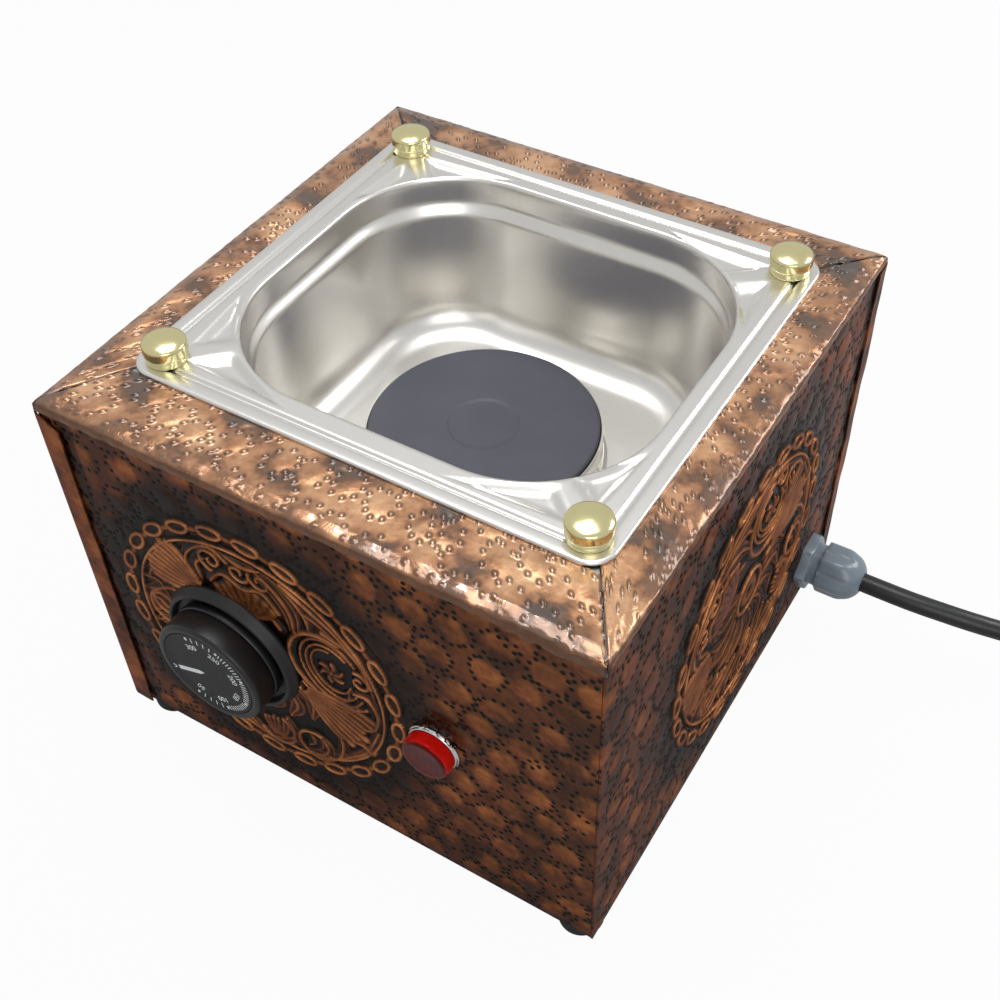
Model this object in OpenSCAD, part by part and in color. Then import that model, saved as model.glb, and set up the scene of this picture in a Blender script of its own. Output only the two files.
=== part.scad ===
// Copper-clad table-top warmer with a hot plate standing in a gastronorm pan.
// Origin: on the table, below the middle of the case. Front faces -Y, +Z is up.

/* [Case] */
// Width of the copper-clad case
body_w = 206; // [200:1:260]
// Depth of the copper-clad case
body_d = 204.5; // [196:0.5:250]
// Height of the case without its feet
body_h = 156.5; // [140:0.5:220]
// Thickness of the embossed copper sheet
copper_t = 0.8; // [0.5:0.1:1.2]
// Thickness of the steel sheet of the inner case
steel_t = 1; // [0.8:0.1:1.5]
// Width of the left panel's flange round the front edge
front_flange_w = 8.5; // [5:0.5:12]
// Width of the back panel's flange round the right side
rear_flange_w = 4.5; // [3:0.5:8]
// Width of the inner case's bottom flange
case_flange_w = 16; // [14:1:20]

/* [Feet] */
// Diameter of a rubber foot
foot_d = 17; // [14:1:20]
// Height of a rubber foot
foot_h = 8; // [6:0.5:12]
// Distance from the case's sides to a foot's middle
foot_inset = 9.5; // [9.5:0.5:11]
// Diameter of a foot's screw
foot_screw_d = 4; // [3:0.5:4]

/* [Pan] */
// Width of the pan's rim
pan_w = 176; // [172:1:180]
// Depth of the pan's rim, front to back
pan_d = 162; // [158:1:166]
// Depth of the well below the rim
pan_depth = 65; // [55:1:80]
// Thickness of the pan's sheet
pan_t = 0.8; // [0.6:0.1:1]
// Radius of the rim's corners
pan_corner_r = 9; // [6:0.5:12]
// How far the pan sits behind the middle of the case
pan_y = 4.7; // [2:0.1:6]
// Width of the well at its mouth
well_w = 151; // [146:1:152]
// Depth of the well at its mouth, front to back
well_d = 134; // [132:1:138]
// How far the well sits behind the middle of the rim
well_back = 1.2; // [0:0.1:2]
// Corner radius of the well at its mouth
well_r = 45; // [38:1:50]
// Height of the rim above the copper top
rim_rise = 1.5; // [1.2:0.1:3]
// Depth of the stacking shoulder below the rim
shoulder_drop = 12; // [6:0.5:14]
// Width of the stacking shoulder
shoulder_in = 3; // [1:0.5:3]
// How far the well's wall leans in, top to bottom
well_draft = 3; // [1:0.5:4]
// Radius between the well's wall and its floor
well_fillet = 13; // [8:1:16]
// Overlap of the rim on the copper top
rim_lap = 3; // [2:0.5:5]

/* [Cap nuts] */
// Diameter of a brass cap nut
cap_d = 15; // [12:0.5:18]
// Height of a brass cap nut
cap_h = 8.5; // [5:0.5:10]
// Distance from the rim's edges to a cap nut's middle
cap_inset = 10; // [9:0.5:12]
// Diameter of the stud inside a cap nut
stud_d = 4; // [3:0.5:5]

/* [Hot plate] */
// Diameter of the cast-iron plate
plate_d = 84; // [70:1:84]
// How far the plate stands left of the pan's middle
plate_left = 2.3; // [0:0.1:4]
// How far the plate stands in front of the pan's middle
plate_fore = 1.5; // [0:0.1:3]
// Thickness of the cast-iron plate
plate_t = 9; // [8:0.5:11]
// Height of the plate's top above the well's floor
plate_rise = 14.5; // [13:0.5:20]
// Diameter of the recess in the plate's middle
recess_d = 26; // [20:1:30]
// Depth of that recess
recess_t = 0.6; // [0.3:0.1:1]
// Thickness of the skirt that carries the plate
skirt_t = 1; // [0.8:0.1:1.2]
// Diameter of the stud that clamps the plate to the pan
clamp_stud_d = 6; // [5:0.5:8]

/* [Thermostat] */
// Place of the knob across the front, from its middle
knob_x = -37.8; // [-42:0.1:-36]
// Height of the knob above the case's underside
knob_z = 73.6; // [66:0.1:78]
// Diameter of the knob
knob_d = 43.2; // [40:0.2:45]
// Distance from the front panel to the knob's face
knob_front = 15.5; // [14:0.5:20]
// Wall of the knob
knob_wall = 2; // [1.6:0.1:2.2]
// Diameter of the printed dial in the knob's face
dial_d = 37; // [32:0.5:38]
// Outer diameter of the bezel round the knob
bezel_d = 54.5; // [52:0.5:58]
// Height of the bezel
bezel_h = 5; // [4:0.5:7]
// Diameter of the thermostat's shaft
shaft_d = 6; // [5:0.5:6]
// Distance between the thermostat's two screws
thermostat_pitch = 28; // [27:0.5:29]
// Diameter of these screws
thermostat_screw_d = 4; // [3:0.5:4]
// Diameter of the sensor bulb below the pan
bulb_d = 4.5; // [3:0.5:6]

/* [Pilot lamp] */
// Place of the lamp across the front, from its middle
lamp_x = 43.5; // [40:0.5:60]
// Height of the lamp above the case's underside
lamp_z = 73; // [66:0.5:78]
// Diameter of the red lens
lens_d = 17.8; // [17:0.1:18.6]
// Distance from the front panel to the lens's face
lens_out = 7; // [5:0.5:10]
// Diameter of the chrome ring
lamp_ring_d = 19.5; // [19:0.5:24]
// Diameter of the lamp's body behind the panel
lamp_body_d = 15.8; // [14:0.1:16]

/* [Cable gland] */
// Place of the gland on the right side, from its middle to the back
gland_y = 75.5; // [60:0.5:78]
// Height of the gland above the case's underside
gland_z = 22.7; // [20:0.1:30]
// Width across flats of the gland's hexagon
gland_af = 21; // [20:0.5:23]
// Width across flats of the dome nut
dome_af = 19.6; // [19:0.1:21]
// Reach of the gland from the side panel
gland_out = 25; // [24:0.5:28]
// Diameter of the power cord
cord_d = 7.8; // [6.8:0.1:8]

/* [Medallions] */
// Diameter of the ring of beads round a medallion
bead_ring_d = 113.5; // [108:0.5:114]
// Number of beads in the ring
bead_count = 24; // [18:1:26]
// Length of a bead along the ring
bead_len = 10.5; // [8:0.5:12]
// Width of a bead
bead_w = 5.5; // [4:0.5:6]
// Height of the relief
relief_h = 1.4; // [1:0.1:2]
// Place of the front medallion across the panel
front_medallion_x = -26.6; // [-30:0.1:-24]
// Place of the side medallions along their panels
side_medallion_y = 6; // [0:0.5:10]
// Height of all medallions above the case's underside
medallion_z = 75; // [72:0.5:78]

/* [Plug] */
// Diameter of the round plug
plug_d = 36; // [34:0.5:40]
// Length of the plug's body
plug_len = 34; // [30:1:40]
// Length of the plug's tapered strain relief
relief_len = 30; // [20:1:40]
// Diameter of a plug pin
pin_d = 4.8; // [4:0.1:4.8]
// Length of a plug pin
pin_len = 19; // [17:0.5:20]
// Distance between the plug's two pins
pin_pitch = 19; // [18:0.5:20]

/* [Hidden] */
$fn = 64;

fit = 0.1;              // radial clearance of a screw in its thread or a pin in its bore
slip = 0.25;            // radial clearance of a screw through a sheet
relief_gap = 0.4;       // clearance of the relief round the lamp's ring and the bezel
bottom_z = foot_h;
top_z = bottom_z + body_h;
panel_top_z = top_z - copper_t;
case_w = body_w - 2 * copper_t;
case_d = body_d - 2 * copper_t;
floor_z = bottom_z + steel_t;
case_top_z = panel_top_z - steel_t;
panel_h = panel_top_z - bottom_z;

// Pan
rim_z = top_z + rim_rise;
shoulder_z = rim_z - shoulder_drop;
well_floor_z = rim_z - pan_depth;
lower_w = well_w - 2 * shoulder_in;
lower_d = well_d - 2 * shoulder_in;
lower_r = well_r - shoulder_in;
under_pan_z = well_floor_z - pan_t;
cap_x = pan_w / 2 - cap_inset;
cap_y = pan_d / 2 - cap_inset;
stud_drop = 14;
nut_t = 0.8 * stud_d;
nut_af = 1.75 * stud_d;

// Hot plate
plate_top_z = well_floor_z + plate_rise;
plate_under_z = plate_top_z - plate_t;
skirt_r = plate_d / 2 + fit;
ledge_in = 4;
cover_t = 0.8;
ring_r = 1.6;
groove_h = 2 * ring_r + 0.6;
clamp_hole_r = clamp_stud_d / 2 + slip;
bridge_drop = 8;
bridge_t = 2;
bridge_w = 16;
bridge_len = 90;
clamp_washer_t = 1.2;
clamp_nut_t = 0.8 * clamp_stud_d;
plate_y = pan_y - plate_fore;
terminal_y = plate_y + 22;
terminal_hole_r = 14;
blade_w = 6.3;
blade_t = 0.8;
blade_len = 8;

// Thermostat, measured outwards from the front panel
knob_cz = bottom_z + knob_z;
inner_face = -(copper_t + steel_t);
bezel_floor = 2;
bezel_wall = 3.4;
knob_gap = 1.2;
knob_back = bezel_floor + knob_gap;
knob_cavity_r = knob_d / 2 - knob_wall;
hub_r = shaft_d / 2 + 4;
dial_recess = 0.6;
neck_r = shaft_d / 2 + 2.5;
thermostat_plate_t = 1.5;
thermostat_w = 42;
thermostat_h = 34;
thermostat_depth = 26;
shaft_in = inner_face - thermostat_plate_t - 18;
shaft_out = knob_front - 3;
head_r = 0.95 * thermostat_screw_d;
head_t = 0.6 * thermostat_screw_d;
bulb_len = 50;
capillary_up = 12;
capillary_bend = 8;
bulb_y = pan_y - 22;
bulb_z = under_pan_z - bulb_d / 2 - 0.3;

// Lamp, measured outwards from the front panel
lamp_cz = bottom_z + lamp_z;
lamp_ring_t = 1.8;
lamp_depth = 22;
lamp_back = -lamp_depth;
lamp_hole_r = lamp_body_d / 2 + slip;

// Gland, measured outwards from the right panel
gland_cz = bottom_z + gland_z;
hex_t = 4.5;
thread_r = 7.9;
nut_start = 7.9;
thread_end = 17.6;
thread_len = 12;
seal_r = 6.5;
seal_start = 12;
locknut_t = 4;
tail_len = 25;

// Terminal block
block_in = 53;
block_x = body_w / 2 - block_in;
block_aside = 9.5;
block_y = gland_y - block_aside;
block_l = 20;
block_w = 26;
block_h = 14;
pole_pitch = 8;
pole_y = [for (i = [-1:1]) block_y + i * pole_pitch];
entry_z = floor_z + 6;
wire_r = 1.1;

// Route of the free cord, on the table from the gland to the coil
exit_x = body_w / 2 + gland_out;
cord_lead = [[exit_x, gland_y, gland_cz], [exit_x + 8, gland_y, gland_cz], [148, 76, 30.3],
  [160, 77.6, 29.4], [171, 79.8, 28], [182, 83, 26], [193, 87, 23.6], [204, 91.4, 20.7], [215, 96, 17.8],
  [221, 99, 16]];
coil_c = [262, 63.5];
coil_r_out = 49.5;
coil_turn = cord_d + 0.1;
coil_layer_turns = 2.625;
coil_r_in = coil_r_out - coil_layer_turns * coil_turn;
cord_away = [[311.5, 37, 3.9], [311.5, 30, 4], [311.5, 23, 4.9], [311.5, 14, 7], [311.5, 4, 10.4],
  [311.5, -6, 14],  [311.5, -15, 16.8], [311.5, -24, 18], [311.5, -30, 18]];
plug_at = cord_away[len(cord_away) - 1];

module rounded(w, d, r) {
  union() {
    square([w - 2 * r, d], center = true);
    square([w, d - 2 * r], center = true);
    for (x = [-1, 1], y = [-1, 1]) translate([x * (w / 2 - r), y * (d / 2 - r)]) circle(r);
  }
}

// Local z runs outwards from the front panel, local y runs up
module on_front(x, z) { translate([x, -body_d / 2, z]) rotate([90, 0, 0]) children(); }

// Local z runs outwards from the right panel, local x runs down
module on_right(y, z) { translate([body_w / 2, y, z]) rotate([0, 90, 0]) children(); }

module rod(r, from, to) { translate([0, 0, from]) cylinder(h = to - from, r = r); }

module hexagon(af, from, to) {
  translate([0, 0, from]) cylinder(h = to - from, r = af / 2 / cos(30), $fn = 6);
}

module tube(r_out, r_in, from, to) {
  difference() {
    rod(r_out, from, to);
    rod(r_in, from - 1, to + 1);
  }
}

module at_caps() { for (x = [-1, 1], y = [-1, 1]) translate([x * cap_x, pan_y + y * cap_y, 0]) children(); }

module at_feet() {
  for (x = [-1, 1], y = [-1, 1])
    translate([x * (body_w / 2 - foot_inset), y * (body_d / 2 - foot_inset), 0]) children();
}

module at_thermostat_screws() {
  for (x = [-1, 1]) translate([x * thermostat_pitch / 2, 0, 0]) children();
}

// A round wire or cord swept along a list of points
function unit(v) = v / norm(v);
function heading(p, i) = unit(p[min(i + 1, len(p) - 1)] - p[max(i - 1, 0)]);
function side(t) = unit(cross(t, abs(t[2]) > 0.9 ? [1, 0, 0] : [0, 0, 1]));
module sweep(points, r, sides = 8) {
  rings = len(points);
  skin = [for (i = [0:rings - 1], k = [0:sides - 1])
    let (t = heading(points, i), u = side(t), v = cross(t, u), a = 360 * k / sides)
    points[i] + r * (cos(a) * u + sin(a) * v)];
  walls = [for (i = [0:rings - 2], k = [0:sides - 1])
    let (n = (k + 1) % sides)
    [i * sides + k, i * sides + n, (i + 1) * sides + n, (i + 1) * sides + k]];
  ends = [[for (k = [sides - 1:-1:0]) k], [for (k = [0:sides - 1]) (rings - 1) * sides + k]];
  polyhedron(skin, concat(walls, ends), convexity = 8);
}

// Raised ring of oval beads between two border lines
module medallion() {
  linear_extrude(relief_h + copper_t / 2) {
    for (i = [0:bead_count - 1]) rotate(i * 360 / bead_count) translate([bead_ring_d / 2, 0]) {
      square([bead_w, bead_len - bead_w], center = true);
      for (s = [-1, 1]) translate([0, s * (bead_len - bead_w) / 2]) circle(bead_w / 2, $fn = 24);
    }
    difference() {
      circle(bead_ring_d / 2 - bead_w / 2 - 1);
      circle(bead_ring_d / 2 - bead_w / 2 - 4);
    }
  }
}

module panel(w) { translate([-w / 2, 0, 0]) cube([w, copper_t, panel_h]); }

module copper_front() {
  color("sienna") difference() {
    union() {
      translate([0, -body_d / 2, bottom_z]) panel(body_w - 2 * copper_t);
      on_front(front_medallion_x, bottom_z + medallion_z) translate([0, 0, -copper_t / 2]) medallion();
    }
    on_front(knob_x, knob_cz) rod(neck_r, -2 * copper_t, 1);
    on_front(knob_x, knob_cz) at_thermostat_screws() rod(thermostat_screw_d / 2 + slip, -2 * copper_t, 1);
    on_front(lamp_x, lamp_cz) rod(lamp_hole_r, -2 * copper_t, 1);
    on_front(lamp_x, lamp_cz) rod(lamp_ring_d / 2 + relief_gap, 0, 2 * relief_h);
    on_front(knob_x, knob_cz) rod(bezel_d / 2 + relief_gap, 0, 2 * relief_h);
  }
}

module copper_right() {
  color("saddlebrown") difference() {
    union() {
      translate([body_w / 2 - copper_t, -body_d / 2, bottom_z])
        cube([copper_t, body_d - copper_t, panel_h]);
      on_right(side_medallion_y, bottom_z + medallion_z) translate([0, 0, -copper_t / 2]) medallion();
    }
    on_right(gland_y, gland_cz) rod(thread_r + slip, -2 * copper_t, 1);
  }
}

module copper_back() {
  color("sienna") {
    translate([0, body_d / 2 - copper_t, bottom_z]) panel(body_w);
    translate([body_w / 2, body_d / 2 - rear_flange_w, bottom_z]) cube([copper_t, rear_flange_w, panel_h]);
    translate([0, body_d / 2 - copper_t / 2, bottom_z + medallion_z]) rotate([-90, 0, 0]) medallion();
  }
}

module copper_left() {
  color("saddlebrown") {
    translate([-body_w / 2, -body_d / 2 - copper_t, bottom_z]) cube([copper_t, body_d, panel_h]);
    translate([-body_w / 2, -body_d / 2 - copper_t, bottom_z]) cube([front_flange_w, copper_t, panel_h]);
    translate([-body_w / 2 + copper_t / 2, side_medallion_y, bottom_z + medallion_z])
      rotate([0, -90, 0]) medallion();
  }
}

// Corners of the top, outside and under the pan's rim, anticlockwise from front left
outer_c = [for (s = [[-1, -1], [1, -1], [1, 1], [-1, 1]]) [s[0] * body_w / 2, s[1] * body_d / 2]];
inner_c = [for (s = [[-1, -1], [1, -1], [1, 1], [-1, 1]])
  [s[0] * (pan_w / 2 - rim_lap), pan_y + s[1] * (pan_d / 2 - rim_lap)]];
module top_strip(i) {
  k = (i + 1) % 4;
  color("peru") translate([0, 0, panel_top_z]) linear_extrude(copper_t)
    polygon([outer_c[i], outer_c[k], inner_c[k], inner_c[i]]);
}

module inner_case() {
  color("silver") difference() {
    union() {
      translate([-case_w / 2, -case_d / 2, floor_z]) cube([case_w, case_d, case_top_z - floor_z]);
    }
    translate([-case_w / 2 + steel_t, -case_d / 2 + steel_t, floor_z + steel_t])
      cube([case_w - 2 * steel_t, case_d - 2 * steel_t, case_top_z]);
    translate([-case_w / 2 + case_flange_w, -case_d / 2 + case_flange_w, 0])
      cube([case_w - 2 * case_flange_w, case_d - 2 * case_flange_w, case_top_z]);
    on_front(knob_x, knob_cz) rod(neck_r, 2 * inner_face, 0);
    on_front(knob_x, knob_cz) at_thermostat_screws() rod(thermostat_screw_d / 2 + slip, 2 * inner_face, 0);
    on_front(lamp_x, lamp_cz) rod(lamp_hole_r, 2 * inner_face, 0);
    on_right(gland_y, gland_cz) rod(thread_r + slip, 2 * inner_face, 0);
    at_feet() rod(foot_screw_d / 2 + slip, 0, floor_z + 2 * steel_t);
  }
}

module case_top() {
  color("silver") difference() {
    translate([-case_w / 2, -case_d / 2, case_top_z]) cube([case_w, case_d, steel_t]);
    translate([0, pan_y + well_back, case_top_z - 1]) linear_extrude(steel_t + 2)
      rounded(well_w + 2 * pan_t + 1, well_d + 2 * pan_t + 1, well_r + pan_t + 0.5);
    at_caps() rod(stud_d / 2 + slip, case_top_z - 1, panel_top_z + 1);
  }
}

module base_plate() {
  color("gainsboro") difference() {
    translate([-case_w / 2, -case_d / 2, bottom_z]) cube([case_w, case_d, steel_t]);
    at_feet() rod(foot_screw_d / 2 + slip, 0, floor_z + 1);
  }
}

module feet() {
  color("black") at_feet() difference() {
    rotate_extrude() polygon([[0, 0], [foot_d / 2 - 1, 0], [foot_d / 2 - 0.3, 0.7],
      [foot_d / 2, foot_h], [0, foot_h]]);
    rod(foot_screw_d / 2 + slip, -1, foot_h + 1);
    rod(foot_screw_d + slip, -1, foot_h / 2);
  }
}

module foot_screws() {
  color("lightgray") at_feet() {
    rod(foot_screw_d / 2, foot_h / 2 - 0.1, floor_z + steel_t + 0.8 * foot_screw_d + 1);
    rod(0.95 * foot_screw_d, foot_h / 2 - 0.6 * foot_screw_d, foot_h / 2);
  }
}

module foot_nuts() {
  color("lightgray") at_feet() difference() {
    hexagon(1.75 * foot_screw_d, floor_z + steel_t, floor_z + steel_t + 0.8 * foot_screw_d);
    rod(foot_screw_d / 2 + fit, 0, top_z);
  }
}

// Lower well between the shoulder and the floor, grown by g
module lower_well(g) {
  fillet = well_fillet;
  hull() {
    translate([0, 0, shoulder_z - pan_t]) linear_extrude(pan_t + (g > 0 ? 0 : 1))
      rounded(lower_w + 2 * g, lower_d + 2 * g, lower_r + g, $fn = 48);
    for (a = [0:22.5:90]) {
      inset = well_draft + fillet * (1 - cos(a)) - g;
      translate([0, 0, well_floor_z + fillet * (1 - sin(a)) - g]) linear_extrude(0.1)
        rounded(lower_w - 2 * inset, lower_d - 2 * inset, lower_r - inset, $fn = 48);
    }
  }
}

module gn_pan() {
  color("whitesmoke") difference() {
    translate([0, pan_y, 0]) {
      difference() {
        translate([0, 0, top_z]) linear_extrude(rim_rise) rounded(pan_w, pan_d, pan_corner_r);
        translate([0, 0, top_z - 1]) linear_extrude(1 + rim_rise - pan_t)
          rounded(pan_w - 2 * pan_t, pan_d - 2 * pan_t, pan_corner_r - pan_t);
        translate([0, well_back, top_z]) linear_extrude(2 * rim_rise) rounded(well_w, well_d, well_r);
      }
      translate([0, well_back, 0]) difference() {
        translate([0, 0, shoulder_z - pan_t]) linear_extrude(rim_z - shoulder_z)
          rounded(well_w + 2 * pan_t, well_d + 2 * pan_t, well_r + pan_t);
        translate([0, 0, shoulder_z]) linear_extrude(shoulder_drop + 1) rounded(well_w, well_d, well_r);
        translate([0, 0, shoulder_z - 2 * pan_t]) linear_extrude(3 * pan_t)
          rounded(lower_w, lower_d, lower_r);
      }
      translate([0, well_back, 0]) difference() {
        lower_well(pan_t);
        lower_well(0);
      }
    }
    at_caps() rod(stud_d / 2 + slip, top_z - 1, rim_z + 1);
    at_plate() rod(clamp_hole_r, under_pan_z - 1, well_floor_z + 1);
    translate([-plate_left, terminal_y, 0]) rod(terminal_hole_r, under_pan_z - 1, well_floor_z + 1);
  }
}

module rim_washers() {
  color("dimgray") at_caps() tube(cap_d / 2 - 1, stud_d / 2 + slip, panel_top_z, rim_z - pan_t);
}

module pan_studs() {
  color("lightgray") at_caps() rod(stud_d / 2, rim_z - stud_drop, rim_z + cap_h - 2);
}

module cap_nuts() {
  color("gold") at_caps() translate([0, 0, rim_z]) difference() {
    rotate_extrude() polygon([[0, 0], [cap_d / 2 - 0.3, 0], [cap_d / 2 - 0.3, cap_h - 2.2],
      [cap_d / 2, cap_h - 2], [cap_d / 2, cap_h - 1.3], [cap_d / 2 - 0.7, cap_h - 0.8],
      [cap_d / 4, cap_h - 0.2], [0, cap_h]]);
    rod(stud_d / 2 + fit, -1, cap_h - 2 + fit);
  }
}

module pan_nuts() {
  color("lightgray") at_caps() difference() {
    hexagon(nut_af, case_top_z - nut_t, case_top_z);
    rod(stud_d / 2 + fit, 0, top_z);
  }
}

module at_plate() { translate([-plate_left, plate_y, 0]) children(); }

module hot_plate() {
  r = plate_d / 2;
  color("darkslategray") at_plate() difference() {
    rotate_extrude() polygon([[0, plate_under_z], [r, plate_under_z], [r, plate_top_z - 0.8],
      [r - 0.8, plate_top_z], [recess_d / 2 + recess_t, plate_top_z],
      [recess_d / 2, plate_top_z - recess_t], [0, plate_top_z - recess_t]]);
    for (g = [0:2]) tube(heating_r(g) + ring_r + 0.3, heating_r(g) - ring_r - 0.3,
      plate_under_z - 1, plate_under_z + groove_h);
    rod(clamp_stud_d / 2 + fit, plate_under_z - 1, plate_under_z + plate_t / 2);
  }
}

// Middle radius of the g-th heating ring
function heating_r(g) = plate_d / 2 - 10 - 6 * g;

module plate_skirt() {
  r = skirt_r;
  color("silver") at_plate() rotate_extrude() polygon([[r, plate_top_z - 1.5], [r, plate_under_z],
    [r - ledge_in, plate_under_z], [r - ledge_in, plate_under_z - skirt_t], [r, plate_under_z - skirt_t],
    [r, well_floor_z], [r + skirt_t + 2, well_floor_z], [r + skirt_t + 2, well_floor_z + skirt_t],
    [r + skirt_t, well_floor_z + skirt_t], [r + skirt_t, plate_top_z - 1.5]]);
}

module heating_rings() {
  color("gray") at_plate() for (g = [0:2]) rotate_extrude()
    translate([heating_r(g), plate_under_z + groove_h - ring_r - 0.3]) circle(ring_r, $fn = 24);
}

module heater_cover() {
  color("silver") at_plate() difference() {
    rod(skirt_r - ledge_in - 0.3, plate_under_z - cover_t, plate_under_z);
    rod(clamp_hole_r, 0, top_z);
  }
}

module clamp_stud() {
  color("lightgray") at_plate() rod(clamp_stud_d / 2,
    under_pan_z - bridge_drop - bridge_t - clamp_washer_t - clamp_nut_t - 2,
    plate_under_z + plate_t / 2 - fit);
}

module clamp_bridge() {
  z = under_pan_z - bridge_drop - bridge_t;
  color("silver") at_plate() difference() {
    translate([-bridge_len / 2, -bridge_w / 2, z]) cube([bridge_len, bridge_w, bridge_drop + bridge_t]);
    translate([-bridge_len / 2 + bridge_t, -bridge_w, z + bridge_t])
      cube([bridge_len - 2 * bridge_t, 2 * bridge_w, bridge_drop + 1]);
    rod(clamp_hole_r, 0, top_z);
  }
}

module clamp_washer() {
  z = under_pan_z - bridge_drop - bridge_t;
  color("lightgray") at_plate() tube(clamp_stud_d, clamp_hole_r, z - clamp_washer_t, z);
}

module clamp_nut() {
  z = under_pan_z - bridge_drop - bridge_t - clamp_washer_t;
  color("lightgray") at_plate() difference() {
    hexagon(1.67 * clamp_stud_d, z - clamp_nut_t, z);
    rod(clamp_stud_d / 2 + fit, 0, top_z);
  }
}

module heater_terminal() {
  z = under_pan_z - bridge_drop;
  color("ivory") translate([-plate_left - 11, terminal_y - 5, z]) cube([22, 10, plate_under_z - cover_t - z]);
}

module heater_blades() {
  z = under_pan_z - bridge_drop - blade_len;
  color("silver") for (x = [-1, 1])
    translate([x * 5.5 - plate_left - blade_t / 2, terminal_y - blade_w / 2, z]) cube([blade_t, blade_w, blade_len]);
}

module knob_bezel() {
  r = bezel_d / 2;
  color("dimgray") on_front(knob_x, knob_cz) difference() {
    rotate_extrude() polygon([[neck_r, 0], [r, 0], [r, 1.5], [r - 1.6, bezel_h], [r - bezel_wall, bezel_h],
      [r - bezel_wall - 0.4, bezel_floor], [neck_r, bezel_floor]]);
    at_thermostat_screws() rod(thermostat_screw_d / 2 + slip, -1, bezel_h);
  }
}

module knob() {
  r = knob_d / 2;
  color("black") on_front(knob_x, knob_cz) rotate_extrude() polygon([
    [knob_cavity_r, knob_back], [r, knob_back], [r, knob_front - 1], [r - 1, knob_front],
    [dial_d / 2 + fit, knob_front], [dial_d / 2 + fit, knob_front - dial_recess],
    [0, knob_front - dial_recess],
    [0, shaft_out + fit], [hub_r - 1, shaft_out + fit], [hub_r - 1, knob_back], [hub_r + 1, knob_back],
    [hub_r + 1, knob_front - 3], [knob_cavity_r, knob_front - 3]]);
}

module dial() {
  color("black") on_front(knob_x, knob_cz) rod(dial_d / 2, knob_front - dial_recess, knob_front - 0.1);
}

module shaft_bush() {
  color("goldenrod") on_front(knob_x, knob_cz)
    tube(hub_r - 1 - fit / 2, shaft_d / 2 + fit / 2, knob_back, shaft_out);
}

module thermostat_shaft() {
  color("silver") on_front(knob_x, knob_cz) rod(shaft_d / 2, shaft_in, shaft_out);
}

module thermostat_screws() {
  color("lightgray") on_front(knob_x, knob_cz) at_thermostat_screws() {
    rod(thermostat_screw_d / 2, inner_face - thermostat_plate_t - 6, bezel_floor + 0.1);
    rod(head_r, bezel_floor, bezel_floor + head_t);
  }
}

module thermostat_body() {
  back = inner_face - thermostat_plate_t - thermostat_depth;
  color("tan") on_front(knob_x, knob_cz) difference() {
    union() {
      translate([-thermostat_w / 2 - 2, -thermostat_h / 2, inner_face - thermostat_plate_t])
        cube([thermostat_w + 4, thermostat_h, thermostat_plate_t]);
      translate([-thermostat_w / 2, -thermostat_h / 2, back])
        cube([thermostat_w, thermostat_h, thermostat_depth + thermostat_plate_t / 2]);
    }
    rod(shaft_d / 2 + fit, shaft_in - 0.5, 1);
    at_thermostat_screws() rod(thermostat_screw_d / 2 + fit, inner_face - thermostat_plate_t - 7, 1);
  }
}

module thermostat_blades() {
  back = inner_face - thermostat_plate_t - thermostat_depth;
  color("silver") on_front(knob_x, knob_cz) for (x = [-1, 1])
    translate([x * 10 - blade_w / 2, -8, back - blade_len]) cube([blade_w, blade_t, blade_len]);
}

thermostat_back_y = -body_d / 2 - inner_face + thermostat_plate_t + thermostat_depth;

module capillary_tube() {
  z = knob_cz + capillary_up;
  bend = capillary_bend;
  color("darkorange") sweep([[knob_x, thermostat_back_y + 0.1, z], [knob_x, thermostat_back_y + bend, z],
    [knob_x, thermostat_back_y + 2 * bend, z - bend / 4], [knob_x, bulb_y - 2.5 * bend, z - bend / 3],
    [knob_x, bulb_y - 1.5 * bend, z - bend / 8],
    [knob_x + bend / 4, bulb_y - 0.6 * bend, bulb_z - bend / 6], [knob_x + 0.8 * bend, bulb_y, bulb_z],
    [-bulb_len / 2 - 0.1, bulb_y, bulb_z]],
    0.9);
}

module sensor_bulb() {
  color("darkorange") translate([-bulb_len / 2, bulb_y, bulb_z]) rotate([0, 90, 0])
    rod(bulb_d / 2, 0, bulb_len);
}

module bulb_clip() {
  wall = 0.8;
  r = bulb_d / 2 + fit;
  color("silver") translate([0, bulb_y, 0]) difference() {
    translate([-4, -r - wall, bulb_z - r - wall])
      cube([8, 2 * (r + wall), under_pan_z - bulb_z + r + wall]);
    translate([0, 0, bulb_z]) rotate([0, 90, 0]) rod(r, -5, 5);
    translate([-5, -r, bulb_z]) cube([10, 2 * r, bulb_d]);
  }
}

module lamp_ring() {
  color("silver") on_front(lamp_x, lamp_cz) tube(lamp_ring_d / 2, lamp_hole_r, 0, lamp_ring_t);
}

module lamp_lens() {
  r = lens_d / 2;
  color("red") on_front(lamp_x, lamp_cz) rotate_extrude() polygon([[r - 1.6, lamp_ring_t], [r, lamp_ring_t],
    [r, lens_out - 0.8], [r - 0.8, lens_out], [0, lens_out], [0, lens_out - 1.2],
    [r - 1.6, lens_out - 1.2]]);
}

module lamp_body() {
  color("white") on_front(lamp_x, lamp_cz) difference() {
    rod(lamp_body_d / 2, lamp_back, lamp_ring_t);
    rod(lamp_body_d / 2 - 1.5, lamp_back + 7, lamp_ring_t + 1);
  }
}

module lamp_nut() {
  color("silver") on_front(lamp_x, lamp_cz) difference() {
    hexagon(lamp_body_d + 4, inner_face - 3, inner_face);
    rod(lamp_body_d / 2 + fit, lamp_back, 0);
  }
}

module neon_bulb() {
  color("orange") on_front(lamp_x, lamp_cz) rotate_extrude() polygon([[0, lamp_back + 7],
    [3, lamp_back + 7], [3, 1.5], [2.4, 3], [1.2, 4], [0, 4.4]]);
}

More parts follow.
